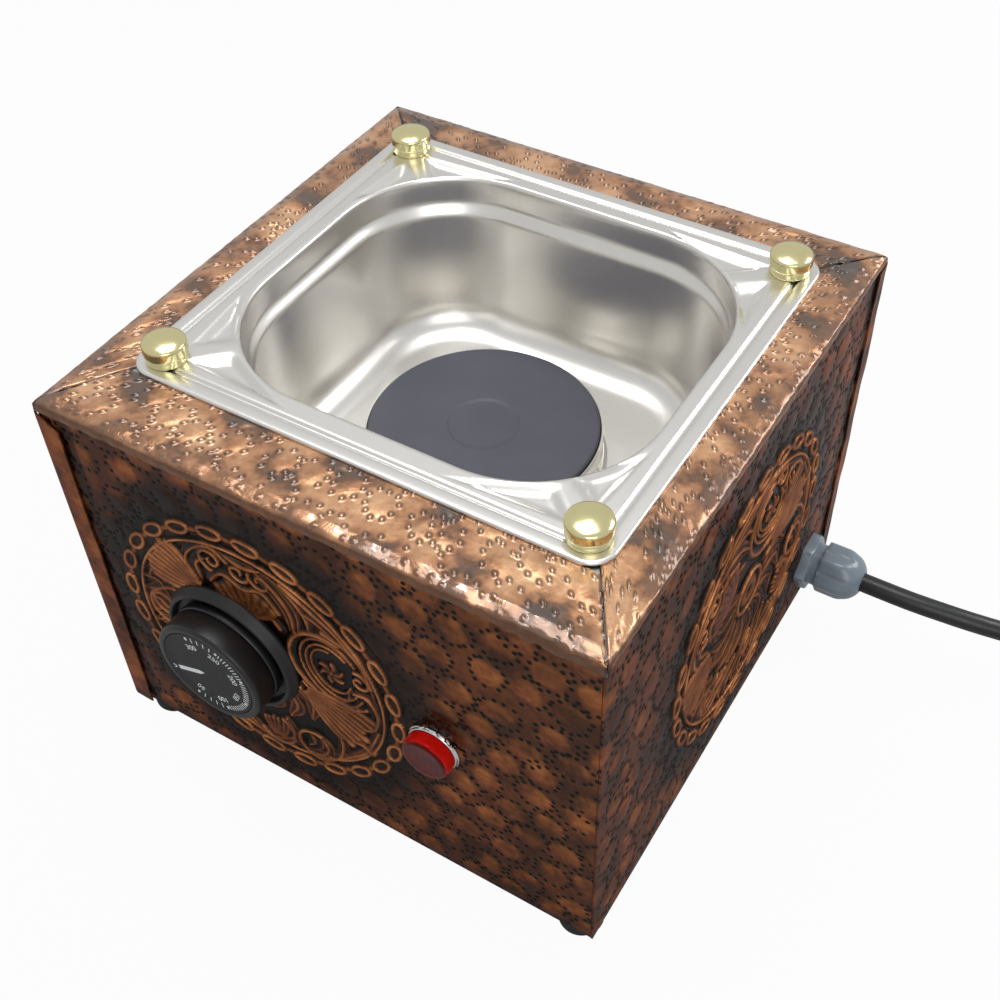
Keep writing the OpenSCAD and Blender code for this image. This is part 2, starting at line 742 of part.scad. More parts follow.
module lamp_blades() {
  color("silver") on_front(lamp_x, lamp_cz) for (x = [-1, 1])
    translate([x * 4 - blade_t / 2, -blade_w / 2, lamp_back - blade_len])
      cube([blade_t, blade_w, blade_len]);
}

module gland_body() {
  color("slategray") on_right(gland_y, gland_cz) difference() {
    union() {
      hexagon(gland_af, 0, hex_t);
      rod(thread_r, -thread_len, thread_end);
    }
    rod(cord_d / 2 + 0.9, -thread_len - 1, thread_end + 1);
    rod(seal_r + fit, seal_start, thread_end + 1);
  }
}

module gland_seal() {
  color("black") on_right(gland_y, gland_cz) tube(seal_r, cord_d / 2 + fit, seal_start, thread_end + 1.8);
}

module gland_dome_nut() {
  r = dome_af / 2 / cos(30);
  color("slategray") on_right(gland_y, gland_cz) difference() {
    intersection() {
      hexagon(dome_af, nut_start, gland_out);
      rotate_extrude() polygon([[0, nut_start], [r - 0.5, nut_start], [r, nut_start + 0.8],
        [r, gland_out - 8.5], [r - 1.2, gland_out - 5.2], [r - 3.4, gland_out - 1.8],
        [r - 5.2, gland_out], [0, gland_out]]);
    }
    rod(thread_r + fit, nut_start - 1, thread_end + 0.4);
    rod(seal_r + fit, nut_start, thread_end + 2);
    rod(cord_d / 2 + fit, nut_start, gland_out + 1);
  }
}

module gland_locknut() {
  color("slategray") on_right(gland_y, gland_cz) difference() {
    hexagon(gland_af, inner_face - locknut_t, inner_face);
    rod(thread_r + fit, -2 * thread_len, 0);
  }
}

module cord_tail() {
  color("black") on_right(gland_y, gland_cz) rod(cord_d / 2, -tail_len, gland_out);
}

module terminal_block() {
  color("ivory") difference() {
    translate([block_x - block_l / 2, block_y - block_w / 2, floor_z]) cube([block_l, block_w, block_h]);
    for (y = pole_y) {
      translate([block_x, y, entry_z]) rotate([0, 90, 0]) rod(wire_r + 0.5, -block_l, block_l);
      for (s = [-1, 1]) translate([block_x + s * block_l / 4, y, 0]) rod(1.7, entry_z, top_z);
    }
  }
}

module terminal_screws() {
  color("goldenrod") for (y = pole_y, s = [-1, 1]) translate([block_x + s * block_l / 4, y, 0])
    rod(1.6, entry_z + wire_r + 0.2, floor_z + block_h - 2);
}

module supply_wires() {
  x = body_w / 2 - tail_len;
  color("royalblue") for (i = [0:2]) {
    y = gland_y + (i - 1) * 2.7;
    fan_y = gland_y - 4.7 + (i - 1) * 5.6;
    sweep([[x - 0.3, y, gland_cz], [x - 3, gland_y + (i - 1) * 3.2, gland_cz - 0.3],
      [x - 9, fan_y, gland_cz - 5], [x - 13, pole_y[i], entry_z + 4], [x - 17, pole_y[i], entry_z],
      [block_x + 1, pole_y[i], entry_z]], wire_r);
  }
}

// Wires from the block to the thermostat, the heater and the lamp, and between these
module harness_wires() {
  x = block_x - block_l / 2;
  blade_z = under_pan_z - bridge_drop - blade_len;
  lamp_end = -body_d / 2 - lamp_back + blade_len;
  t_end = thermostat_back_y + blade_len;
  t_z = knob_cz - 8;
  color("firebrick") {
    sweep([[x + 9, pole_y[0], entry_z], [x - 6, pole_y[0], entry_z], [x - 20, pole_y[0] - 12, entry_z + 8],
      [-10, 20, 40], [-24, -20, 58], [knob_x + 10, t_end + 12, t_z - 3],
      [knob_x + 10, t_end + 0.5, t_z]], wire_r);
    sweep([[x + 9, pole_y[1], entry_z], [x - 6, pole_y[1], entry_z], [x - 22, pole_y[1] - 6, entry_z + 12],
      [12, 50, 50], [5.5 - plate_left, terminal_y + 4, blade_z - 14],
      [5.5 - plate_left, terminal_y, blade_z - 0.5]], wire_r);
    sweep([[knob_x - 10, t_end + 0.5, t_z], [knob_x - 10, t_end + 10, t_z],
      [knob_x - 8, t_end + 26, t_z - 6], [-34, -10, 64], [-16, 20, 64],
      [-5.5 - plate_left, terminal_y - 2, blade_z - 10], [-5.5 - plate_left, terminal_y, blade_z - 0.5]], wire_r);
    for (s = [-1, 1]) sweep([[lamp_x + 4 * s, lamp_end + 0.5, lamp_cz],
      [lamp_x + 4 * s, lamp_end + 10, lamp_cz - 2],
      [lamp_x + 3 * s, -40, 62], [lamp_x + 3 * s, -6, 44], [lamp_x + 4 * s, 24, 22],
      [x - 3 * s - 9, 36 + 3 * s, entry_z + 2 + 1.5 * s],
      [x - 3 * s - 9, 44 + 3 * s, entry_z + 1.5 * s]], 0.8);
  }
}

module power_cord() {
  color("black") {
    sweep(cord_lead, cord_d / 2);
    sweep(cord_away, cord_d / 2);
  }
}

module cord_coil() {
  r = cord_d / 2;
  color("black") translate([coil_c[0], coil_c[1], 0]) rotate_extrude()
    translate([coil_r_in, 0]) square([coil_r_out - coil_r_in + r, 2 * cord_d]);
}

// Local z runs along the plug, from the cord towards the pins
module on_plug() { translate(plug_at) rotate([90, 0, 0]) children(); }

module plug_relief() {
  color("black") on_plug() rotate_extrude() polygon([[0, 0], [cord_d / 2 + 0.8, 0],
    [cord_d / 2 + 2.4, relief_len],
    [0, relief_len]]);
}

module plug_body() {
  r = plug_d / 2;
  color("black") on_plug() rotate_extrude() polygon([[0, relief_len], [r - 8, relief_len],
    [r - 3, relief_len + 5],
    [r, relief_len + 12], [r, relief_len + plug_len], [0, relief_len + plug_len]]);
}

module plug_pins() {
  color("silver") on_plug() for (s = [-1, 1]) translate([s * pin_pitch / 2, 0, 0]) {
    rod(pin_d / 2, relief_len + plug_len, relief_len + plug_len + pin_len - 1);
    translate([0, 0, relief_len + plug_len + pin_len - 1])
      cylinder(h = 1, r1 = pin_d / 2, r2 = pin_d / 2 - 1);
  }
}

copper_front();
copper_right();
copper_back();
copper_left();
top_strip(0);  // top_strip_front
top_strip(1);  // top_strip_right
top_strip(2);  // top_strip_back
top_strip(3);  // top_strip_left
inner_case();
case_top();
base_plate();
feet();
foot_screws();
foot_nuts();
gn_pan();
rim_washers();
pan_studs();
cap_nuts();
pan_nuts();
hot_plate();
plate_skirt();
heating_rings();
heater_cover();
clamp_stud();
clamp_bridge();
clamp_washer();
clamp_nut();
heater_terminal();
heater_blades();
knob_bezel();
knob();
dial();
shaft_bush();
thermostat_shaft();
thermostat_screws();
thermostat_body();
thermostat_blades();
capillary_tube();
sensor_bulb();
bulb_clip();
lamp_ring();
lamp_lens();
lamp_body();
lamp_nut();
neon_bulb();
lamp_blades();
gland_body();
gland_seal();
gland_dome_nut();
gland_locknut();
cord_tail();
terminal_block();
terminal_screws();
supply_wires();
harness_wires();
power_cord();
cord_coil();
plug_relief();
plug_body();
plug_pins();
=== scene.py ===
import bpy
import bmesh
import math
import numpy as np
from mathutils import Euler, Matrix, Vector


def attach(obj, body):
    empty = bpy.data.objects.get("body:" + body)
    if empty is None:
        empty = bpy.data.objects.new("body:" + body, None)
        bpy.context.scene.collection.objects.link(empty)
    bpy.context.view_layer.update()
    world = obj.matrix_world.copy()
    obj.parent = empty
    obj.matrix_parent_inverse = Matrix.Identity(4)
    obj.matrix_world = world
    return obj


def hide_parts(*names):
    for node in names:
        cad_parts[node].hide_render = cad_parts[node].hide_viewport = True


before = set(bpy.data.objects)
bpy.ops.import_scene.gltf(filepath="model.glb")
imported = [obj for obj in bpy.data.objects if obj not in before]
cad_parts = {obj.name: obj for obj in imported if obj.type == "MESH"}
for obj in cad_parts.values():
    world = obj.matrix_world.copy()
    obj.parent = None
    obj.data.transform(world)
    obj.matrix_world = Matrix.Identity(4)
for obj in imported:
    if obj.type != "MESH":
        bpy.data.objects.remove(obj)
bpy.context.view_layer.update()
mm = 0.001
print("stage: frame loaded")


# small helpers
def srgb(code):
    # "#rrggbb" to the linear colour that Blender works in
    values = [int(code[i:i + 2], 16) / 255 for i in (1, 3, 5)]
    return tuple(v / 12.92 if v <= 0.04045 else ((v + 0.055) / 1.055) ** 2.4 for v in values) + (1.0,)


def addNode(tree, kind, inputs=None, stops=None, **settings):
    # a socket is linked, anything else is set as the input's value
    node = tree.nodes.new("ShaderNode" + kind)
    for name, value in settings.items():
        setattr(node, name, value)
    for key, value in (inputs or {}).items():
        if isinstance(value, bpy.types.NodeSocket):
            tree.links.new(value, node.inputs[key])
        else:
            node.inputs[key].default_value = value
    if stops:
        ramp = node.color_ramp
        while len(ramp.elements) < len(stops):
            ramp.elements.new(1)
        for element, (position, colour) in zip(ramp.elements, stops):
            element.position = position
            element.color = srgb(colour) if isinstance(colour, str) else (colour, colour, colour, 1)
    return node


def startMaterial(name):
    material = bpy.data.materials.new(name)
    material.use_nodes = True
    tree = material.node_tree
    tree.nodes.clear()
    output = addNode(tree, "OutputMaterial")
    shader = addNode(tree, "BsdfPrincipled")
    tree.links.new(shader.outputs[0], output.inputs[0])
    coords = addNode(tree, "TexCoord").outputs["Object"]
    return material, tree, shader, coords


def finishPiece(bm, name, material, body="root", replaces=(), smooth=True, angle=None):
    mesh = bpy.data.meshes.new(name)
    bm.to_mesh(mesh)
    bm.free()
    return placeMesh(mesh, name, material, body, replaces, smooth, angle)


def placeMesh(mesh, name, material, body="root", replaces=(), smooth=True, angle=None):
    for polygon in mesh.polygons:
        polygon.use_smooth = smooth
    if angle is not None:
        mesh.set_sharp_from_angle(angle=math.radians(angle))
    piece = bpy.data.objects.new(name, mesh)
    bpy.context.scene.collection.objects.link(piece)
    for one in material if isinstance(material, (list, tuple)) else [material]:
        mesh.materials.append(one)
    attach(piece, body)
    if replaces:
        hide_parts(*replaces)
    return piece


def spinProfile(profile, steps=96, turn=None):
    # profile is a list of (radius, height) in mm; turn "front" points it out of the front, "right" out of the side
    bm = bmesh.new()
    verts = [bm.verts.new((r * mm, 0, h * mm)) for r, h in profile]
    edges = [bm.edges.new((a, b)) for a, b in zip(verts, verts[1:])]
    bmesh.ops.spin(bm, geom=verts + edges, cent=(0, 0, 0), axis=(0, 0, 1), angle=math.tau,
                   steps=steps, use_merge=True, use_duplicate=False)
    bmesh.ops.remove_doubles(bm, verts=bm.verts, dist=2e-6)
    bmesh.ops.dissolve_degenerate(bm, edges=bm.edges, dist=1e-6)
    bmesh.ops.recalc_face_normals(bm, faces=bm.faces)
    turnMesh(bm, turn)
    return bm


def turnMesh(bm, turn):
    turns = {"front": (90, "X"), "right": (90, "Y"), "plug": (90, "X")}
    if turn:
        angle, axis = turns[turn]
        bmesh.ops.rotate(bm, verts=bm.verts, cent=(0, 0, 0), matrix=Matrix.Rotation(math.radians(angle), 3, axis))


def repeatMesh(bm, places):
    # the whole shape once more at each place, in mm
    geom = bm.verts[:] + bm.edges[:] + bm.faces[:]
    for place in places[1:]:
        made = bmesh.ops.duplicate(bm, geom=geom)["geom"]
        shift = (Vector(place) - Vector(places[0])) * mm
        bmesh.ops.translate(bm, vec=shift, verts=[g for g in made if isinstance(g, bmesh.types.BMVert)])
    bmesh.ops.translate(bm, vec=Vector(places[0]) * mm, verts=bm.verts)


# camera
camera = dict(place=(0.19703, -0.29598, 0.45076), turn=(43.735, 1.430, 31.397), lens=49.05)
cameraData = bpy.data.cameras.new("camera")
cameraData.sensor_width = 36
cameraData.sensor_fit = "HORIZONTAL"
cameraData.lens = camera["lens"]
cameraData.clip_start = 0.01
cameraObject = bpy.data.objects.new("camera", cameraData)
cameraObject.location = camera["place"]
cameraObject.rotation_euler = Euler([math.radians(a) for a in camera["turn"]], "XYZ")
bpy.context.scene.collection.objects.link(cameraObject)
bpy.context.scene.camera = cameraObject

# mains cord: black PVC, 1.5 m, neatly coiled on the table
cord = dict(diameter=7.8, perTurn=18, coilCentre=(262, 63.5), coilRadius=49.5, turn=7.9, layerTurns=2.625,
            lowZ=3.9, highZ=11.7,
            lead=[(128, 75.5, 30.7), (136, 75.5, 30.7), (148, 76, 30.3), (160, 77.6, 29.4), (171, 79.8, 28),
                  (182, 83, 26), (193, 87, 23.6), (204, 91.4, 20.7), (215, 96, 17.8), (221, 99, 16), (232, 104, 13.8),
                  (243, 108.4, 12.5), (253, 111.6, 11.9)],
            away=[(311.5, 49, 3.9), (311.5, 37, 3.9), (311.5, 30, 4), (311.5, 23, 4.9), (311.5, 14, 7),
                  (311.5, 4, 10.4), (311.5, -6, 14), (311.5, -15, 16.8), (311.5, -24, 18), (311.5, -30, 18)])


def cordRoute(spec):
    cx, cy = spec["coilCentre"]
    turns = spec["layerTurns"]
    count = int(turns * spec["perTurn"])
    route = list(spec["lead"])
    inner = spec["coilRadius"] - turns * spec["turn"]
    for i in range(count + 1):  # upper layer, clockwise and inwards
        t = i / count
        angle = math.radians(90 - 360 * turns * t)
        radius = spec["coilRadius"] + (inner - spec["coilRadius"]) * t
        route.append((cx + radius * math.cos(angle), cy + radius * math.sin(angle), spec["highZ"]))
    last = 90 - 360 * turns
    for i in range(1, 4):  # down to the lower layer
        t = i / 4
        angle = math.radians(last - 45 * t)
        height = spec["highZ"] + (spec["lowZ"] - spec["highZ"]) * (3 * t * t - 2 * t ** 3)
        route.append((cx + inner * math.cos(angle), cy + inner * math.sin(angle), height))
    start = last - 45
    finish = start - (start % 360)  # ends at the coil's east side, heading -Y
    while start - finish < 360 * turns - 200:
        finish -= 360
    outTurns = (start - finish) / 360
    count = int(outTurns * spec["perTurn"])
    for i in range(count + 1):  # lower layer, outwards
        t = i / count
        angle = math.radians(start + (finish - start) * t)
        radius = inner + (spec["coilRadius"] - inner) * t
        route.append((cx + radius * math.cos(angle), cy + radius * math.sin(angle), spec["lowZ"]))
    return route + list(spec["away"])


def routeLength(route):
    return sum((Vector(b) - Vector(a)).length for a, b in zip(route, route[1:])) * mm


cordPath = cordRoute(cord)
print("stage: cord route", round(routeLength(cordPath), 4), "m")

# materials
# embossed copper: cold-pressed sheet, patinated dark, wiped bright on its high spots and lacquered
sideCopper = dict(bright="#dd9058", middle="#9c5f36", dark="#573720", patina="#19120d", ridge="#e6a06a",
                  roughness=0.38, cloud=17.24, crease=9.091, speck=2.381)


def makeSideCopper(name, spec):
    material, tree, shader, coords = startMaterial(name)
    ridge = addNode(tree, "Attribute", attribute_name="ridge").outputs["Fac"]
    disc = addNode(tree, "Attribute", attribute_name="disc").outputs["Fac"]
    shadeAndMottle = addNode(tree, "Attribute", attribute_name="shadeAndMottle").outputs["Fac"]
    patch = addNode(tree, "Attribute", attribute_name="patch").outputs["Fac"]
    dots = addNode(tree, "Attribute", attribute_name="dots").outputs["Fac"]
    # cloudy patina, creases and wiping specks, each as wide in mm as the dictionary says
    clouds = addNode(tree, "TexNoise", {"Vector": coords, "Scale": 1 / (spec["cloud"] * mm), "Detail": 3.0,
                                        "Roughness": 0.6})
    creases = addNode(tree, "TexNoise", {"Vector": coords, "Scale": 1 / (spec["crease"] * mm), "Detail": 2.0,
                                         "Roughness": 0.5, "Distortion": 1.2})
    specks = addNode(tree, "TexNoise", {"Vector": coords, "Scale": 1 / (spec["speck"] * mm), "Detail": 3.0,
                                        "Roughness": 0.6})
    tone = addNode(tree, "MapRange", {0: clouds.outputs[0], 1: 0.38, 2: 0.62, 3: 0.15, 4: 1.3})
    # smooth patches are wiped brighter than the ground between the punch marks
    ragged = addNode(tree, "Math", {0: creases.outputs[0], 1: 6.0, 2: patch}, operation="MULTIPLY_ADD")
    wiped = addNode(tree, "MapRange", {0: ragged.outputs[0], 1: 7.4, 2: 9.4, 3: 0.66, 4: 0.3},
                    interpolation_type="SMOOTHSTEP")
    level = addNode(tree, "Math", {0: wiped.outputs[0], 1: tone.outputs[0]}, operation="MULTIPLY")
    level = addNode(tree, "Math", {0: level.outputs[0], 1: 0.62, 2: 0.16}, operation="MULTIPLY_ADD")
    speckle = addNode(tree, "Math", {0: specks.outputs[0], 1: 0.2, 2: -0.1}, operation="MULTIPLY_ADD")
    level = addNode(tree, "Math", {0: level.outputs[0], 1: speckle.outputs[0]}, operation="ADD")
    ground = addNode(tree, "ValToRGB", {0: level.outputs[0]},
                     stops=[(0.0, spec["patina"]), (0.25, spec["dark"]), (0.6, spec["middle"]),
                            (1.0, spec["bright"])])
    # each punch mark holds black patina
    mark = addNode(tree, "MapRange", {0: dots, 1: 0.65, 2: 1.15, 3: 1.0, 4: 0.0}, interpolation_type="SMOOTHSTEP")
    marked = addNode(tree, "Mix", {0: mark.outputs[0], 6: ground.outputs[0], 7: srgb("#0d0a08")}, data_type="RGBA")
    # the medallion: black in its grooves, bright copper on its ridges
    carved = addNode(tree, "MapRange", {0: ridge, 1: -0.36, 2: 1.62, 3: 0.0, 4: 1.0})
    worn = addNode(tree, "Math", {0: tone.outputs[0], 1: 0.16, 2: -0.1}, operation="MULTIPLY_ADD")
    carvedNoise = addNode(tree, "Math", {0: carved.outputs[0], 1: worn.outputs[0]}, operation="ADD")
    relief = addNode(tree, "ValToRGB", {0: carvedNoise.outputs[0]},
                     stops=[(0.0, "#090706"), (0.22, "#140e0b"), (0.42, "#4a2e1c"), (0.68, spec["middle"]),
                            (0.97, spec["ridge"])])
    mixed = addNode(tree, "Mix", {0: disc, 6: marked.outputs[2], 7: relief.outputs[0]}, data_type="RGBA")
    # painted shadow round the medallion and painted shade beside the laps: the sheet's mask darkens the colour
    # towards near black
    shade = addNode(tree, "Math", {0: shadeAndMottle, 1: 0.9}, operation="MULTIPLY")
    final = addNode(tree, "Mix", {0: shade.outputs[0], 6: mixed.outputs[2], 7: srgb("#15110f")}, data_type="RGBA")
    tree.links.new(final.outputs[2], shader.inputs["Base Color"])
    shader.inputs["Metallic"].default_value = 0.8
    shader.inputs["Specular Tint"].default_value = srgb("#9c7058")
    rough = addNode(tree, "MapRange", {0: specks.outputs[0], 1: 0.3, 2: 0.7, 3: spec["roughness"] - 0.08,
                                       4: spec["roughness"] + 0.12})
    tree.links.new(rough.outputs[0], shader.inputs["Roughness"])
    shader.inputs["Coat Weight"].default_value = 0.25
    shader.inputs["Coat Roughness"].default_value = 0.18
    # punch marks are pressed in 0.3 mm, wiping marks a few hundredths
    pit = addNode(tree, "MapRange", {0: dots, 1: 0.2, 2: 1.3, 3: 0.0, 4: 1.0}, interpolation_type="SMOOTHSTEP")
    dome = addNode(tree, "MapRange", {0: patch, 1: 2.5, 2: 6.6, 3: 1.0, 4: 0.0}, interpolation_type="SMOOTHSTEP")
    height = addNode(tree, "Math", {0: dome.outputs[0], 1: 1.4, 2: pit.outputs[0]}, operation="MULTIPLY_ADD")
    plain = addNode(tree, "Math", {0: 1.0, 1: disc}, operation="SUBTRACT")
    height = addNode(tree, "Math", {0: height.outputs[0], 1: plain.outputs[0]}, operation="MULTIPLY")
    height = addNode(tree, "Math", {0: specks.outputs[0], 1: 0.12, 2: height.outputs[0]}, operation="MULTIPLY_ADD")
    height = addNode(tree, "Math", {0: creases.outputs[0], 1: 1.8, 2: height.outputs[0]}, operation="MULTIPLY_ADD")
    carving = addNode(tree, "Math", {0: ridge, 1: disc}, operation="MULTIPLY")
    height = addNode(tree, "Math", {0: carving.outputs[0], 1: 2.2, 2: height.outputs[0]}, operation="MULTIPLY_ADD")
    bump = addNode(tree, "Bump", {"Height": height.outputs[0], "Distance": 0.3 * mm, "Strength": 1.0})
    tree.links.new(bump.outputs[0], shader.inputs["Normal"])
    return material


# lacquered copper of the top: same sheet turned over, so the punch marks stand up as pips
topCopper = dict(bright="#d6a67c", middle="#ad7b56", dark="#74523b", patina="#5f524a", folded="#936a4f",
                 roughness=0.3, cloud=23.81, speck=2.857, wrinkle=7.692)


def makeTopCopper(name, spec):
    material, tree, shader, coords = startMaterial(name)
    patch = addNode(tree, "Attribute", attribute_name="patch").outputs["Fac"]
    dots = addNode(tree, "Attribute", attribute_name="dots").outputs["Fac"]
    edge = addNode(tree, "Attribute", attribute_name="edge").outputs["Fac"]
    seam = addNode(tree, "Attribute", attribute_name="seam").outputs["Fac"]
    down = addNode(tree, "Attribute", attribute_name="down").outputs["Fac"]
    clouds = addNode(tree, "TexNoise", {"Vector": coords, "Scale": 1 / (spec["cloud"] * mm), "Detail": 4.0,
                                        "Roughness": 0.6})
    specks = addNode(tree, "TexNoise", {"Vector": coords, "Scale": 1 / (spec["speck"] * mm), "Detail": 4.0,
                                        "Roughness": 0.6})
    level = addNode(tree, "MapRange", {0: clouds.outputs[0], 1: 0.36, 2: 0.64, 3: 0.0, 4: 1.0})
    speckle = addNode(tree, "Math", {0: specks.outputs[0], 1: 0.2, 2: -0.1}, operation="MULTIPLY_ADD")
    level = addNode(tree, "Math", {0: level.outputs[0], 1: speckle.outputs[0]}, operation="ADD")
    ground = addNode(tree, "ValToRGB", {0: level.outputs[0]},
                     stops=[(0.0, spec["patina"]), (0.26, spec["dark"]), (0.5, spec["middle"]),
                            (0.95, spec["bright"])])
    # a pip, 2 mm wide, keeps the ground's colour; round its foot a dark ring of painted shade
    reach = addNode(tree, "Math", {0: dots, 1: 0.5}, operation="MULTIPLY")
    ring = addNode(tree, "ValToRGB", {0: reach.outputs[0]},
                   stops=[(0.0, 0.0), (0.22, 0.1), (0.42, 0.8), (0.55, 0.5), (0.85, 0.0)])
    pipShaded = addNode(tree, "Mix", {0: ring.outputs[0], 6: ground.outputs[0], 7: srgb("#2e211a")}, data_type="RGBA")
    rubbed = addNode(tree, "Math", {0: edge, 1: 0.4}, operation="MULTIPLY")
    folded = addNode(tree, "Mix", {0: rubbed.outputs[0], 6: pipShaded.outputs[2], 7: srgb(spec["folded"])},
                     data_type="RGBA")
    shaded = addNode(tree, "Math", {0: down, 1: 0.8}, operation="MULTIPLY")
    shadedFold = addNode(tree, "Mix", {0: shaded.outputs[0], 6: folded.outputs[2], 7: srgb("#6b4630")},
                         data_type="RGBA")
    joint = addNode(tree, "Math", {0: seam, 1: 0.85}, operation="MULTIPLY")
    final = addNode(tree, "Mix", {0: joint.outputs[0], 6: shadedFold.outputs[2], 7: srgb("#1e1612")},
                    data_type="RGBA")
    gloss = addNode(tree, "MapRange", {0: down, 1: 0.0, 2: 1.0, 3: 0.8, 4: 0.15})
    tree.links.new(gloss.outputs[0], shader.inputs["Coat Weight"])
    tree.links.new(final.outputs[2], shader.inputs["Base Color"])
    shader.inputs["Metallic"].default_value = 0.65
    rough = addNode(tree, "MapRange", {0: specks.outputs[0], 1: 0.3, 2: 0.7, 3: spec["roughness"] - 0.08,
                                       4: spec["roughness"] + 0.1})
    tree.links.new(rough.outputs[0], shader.inputs["Roughness"])
    shader.inputs["Coat Roughness"].default_value = 0.05
    dome = addNode(tree, "MapRange", {0: patch, 1: 2.5, 2: 6.6, 3: 1.0, 4: 0.0}, interpolation_type="SMOOTHSTEP")
    wrinkles = addNode(tree, "TexNoise", {"Vector": coords, "Scale": 1 / (spec["wrinkle"] * mm), "Detail": 2.5,
                                          "Roughness": 0.55, "Distortion": 1.5})
    height = addNode(tree, "Math", {0: specks.outputs[0], 1: 0.1, 2: dome.outputs[0]}, operation="MULTIPLY_ADD")
    depth = addNode(tree, "Math", {0: edge, 1: 1.6, 2: 0.9}, operation="MULTIPLY_ADD")
    height = addNode(tree, "Math", {0: wrinkles.outputs[0], 1: depth.outputs[0], 2: height.outputs[0]},
                     operation="MULTIPLY_ADD")
    bump = addNode(tree, "Bump", {"Height": height.outputs[0], "Distance": 0.22 * mm, "Strength": 0.9})
    tree.links.new(bump.outputs[0], shader.inputs["Normal"])
    return material


def makePlain(name, colour, roughness, metallic=0.0, variation=0.12, grain=1.111, bumpDepth=0.02, coat=0.0, ior=None,
              stretch=(1, 1, 1), colour2=None, cloud=22.22):
    # a plain finish: cloudy colour, grain in its gloss and a shallow bump; grain, cloud and bumpDepth in mm
    # the real grain of all these is too fine to show, so it is drawn as coarse as it needs
    material, tree, shader, coords = startMaterial(name)
    mapped = addNode(tree, "Mapping", {"Vector": coords, "Scale": stretch}).outputs[0]
    fine = addNode(tree, "TexNoise", {"Vector": mapped, "Scale": 1 / (grain * mm), "Detail": 3.0, "Roughness": 0.55})
    broad = addNode(tree, "TexNoise", {"Vector": coords, "Scale": 1 / (cloud * mm), "Detail": 3.0, "Roughness": 0.6})
    base = Vector(srgb(colour)[:3])
    other = Vector(srgb(colour2)[:3]) if colour2 else base * (1 - variation * 2)
    fac = addNode(tree, "MapRange", {0: broad.outputs[0], 1: 0.3, 2: 0.7, 3: 0.0, 4: 1.0})
    tone = addNode(tree, "Mix", {0: fac.outputs[0], 6: (*other, 1), 7: (*base, 1)}, data_type="RGBA")
    tree.links.new(tone.outputs[2], shader.inputs["Base Color"])
    rough = addNode(tree, "MapRange", {0: fine.outputs[0], 1: 0.25, 2: 0.75,
                                       3: max(roughness - 0.5 * variation, 0.02), 4: roughness + 0.6 * variation})
    tree.links.new(rough.outputs[0], shader.inputs["Roughness"])
    shader.inputs["Metallic"].default_value = metallic
    if ior:
        shader.inputs["IOR"].default_value = ior
    shader.inputs["Coat Weight"].default_value = coat
    shader.inputs["Coat Roughness"].default_value = 0.12
    bump = addNode(tree, "Bump", {"Height": fine.outputs[0], "Distance": bumpDepth * mm, "Strength": 0.6})
    tree.links.new(bump.outputs[0], shader.inputs["Normal"])
    return material, tree, shader


copperSideFinish = makeSideCopper("pressedAntiqueCopper", sideCopper)
copperTopFinish = makeTopCopper("lacqueredAntiqueCopper", topCopper)
# deep-drawn stainless steel, 2B rolled: satin, warm grey, faint drawing lines along X
panSteel = makePlain("deepDrawnStainless", "#e5e3df", 0.29, 1.0, 0.01, 1.429, 0.0005, stretch=(0.25, 1, 1))[0]
# turned and polished brass, lacquered: pale lime gold
capBrass = makePlain("polishedBrass", "#e6dda8", 0.18, 1.0, 0.03, 2, 0.003)[0]
# machined cast iron with a heat-proof black coat: bluish grey, dull
plateIron = makePlain("coatedCastIron", "#50505a", 0.5, 0.2, 0.05, 0.7143, 0.012, colour2="#4a4a54")[0]
# spun stainless steel: bright, what it mirrors softened by a faint grain
skirtSteel = makePlain("spunStainless", "#d6d3cd", 0.2, 1.0, 0.05, 1.667, 0.01)[0]
# moulded phenolic: near black, fine spark-eroded texture
knobPhenolic = makePlain("mouldedPhenolic", "#101112", 0.38, 0.0, 0.1, 0.4545, 0.015, ior=1.5)[0]
# the same phenolic from a rougher mould: a little duller than the knob
bezelPhenolic = makePlain("mouldedPhenolicBezel", "#101011", 0.45, 0.0, 0.1, 0.5556, 0.02, ior=1.5)[0]
# lacquered dial ground: flat black, with a soft even sheen
dialLacquer = makePlain("printedDialGround", "#0c0d0f", 0.5, 0.0, 0.08, 0.6667, 0.005, ior=1.46)[0]
# screen-printed ink: off-white and matt, standing a hair above the lacquer
printInk = makePlain("screenPrintedInk", "#dfe3e6", 0.55, 0.0, 0.05, 0.4, 0.01, ior=1.45)[0]
# bright chrome on turned brass: a near mirror that picks up the red lens
lampChrome = makePlain("chromePlatedBrass", "#d9dadd", 0.1, 1.0, 0.03, 2.5, 0.004)[0]
# moulded polyamide: blue-grey, with a waxy shine on its curves
glandNylon = makePlain("mouldedPolyamide", "#75828d", 0.3, 0.0, 0.04, 0.7692, 0.008, coat=0.5, ior=1.53,
                       colour2="#6c7984")[0]
# extruded PVC: black, with a long soft highlight drawn along the cord
cordPvc = makePlain("extrudedPvc", "#0e1013", 0.34, 0.0, 0.1, 1, 0.02, ior=1.53, stretch=(0.3, 1, 1))[0]
# moulded PVC: black and slightly matt from its textured mould
plugPvc = makePlain("mouldedPvc", "#17191c", 0.45, 0.0, 0.12, 0.625, 0.03, ior=1.53)[0]
# moulded rubber: dull black that takes hardly any highlight
footRubber = makePlain("mouldedRubber", "#16161a", 0.6, 0.0, 0.15, 0.6667, 0.04, ior=1.52)[0]
# punched from rubber sheet: dull grey-black with a chalky face
washerRubber = makePlain("cutRubberSheet", "#26272a", 0.7, 0.0, 0.15, 0.8333, 0.04, ior=1.52)[0]
# hot-dip galvanised sheet: dull grey, clouded light and dark
caseSteel = makePlain("galvanisedSheet", "#a9adb0", 0.4, 1.0, 0.15, 3.333, 0.02, colour2="#8b8f94")[0]
# zinc-plated steel: bluish white and softly bright
zincSteel = makePlain("zincPlatedSteel", "#bcbfc4", 0.3, 1.0, 0.08, 1.25, 0.01)[0]
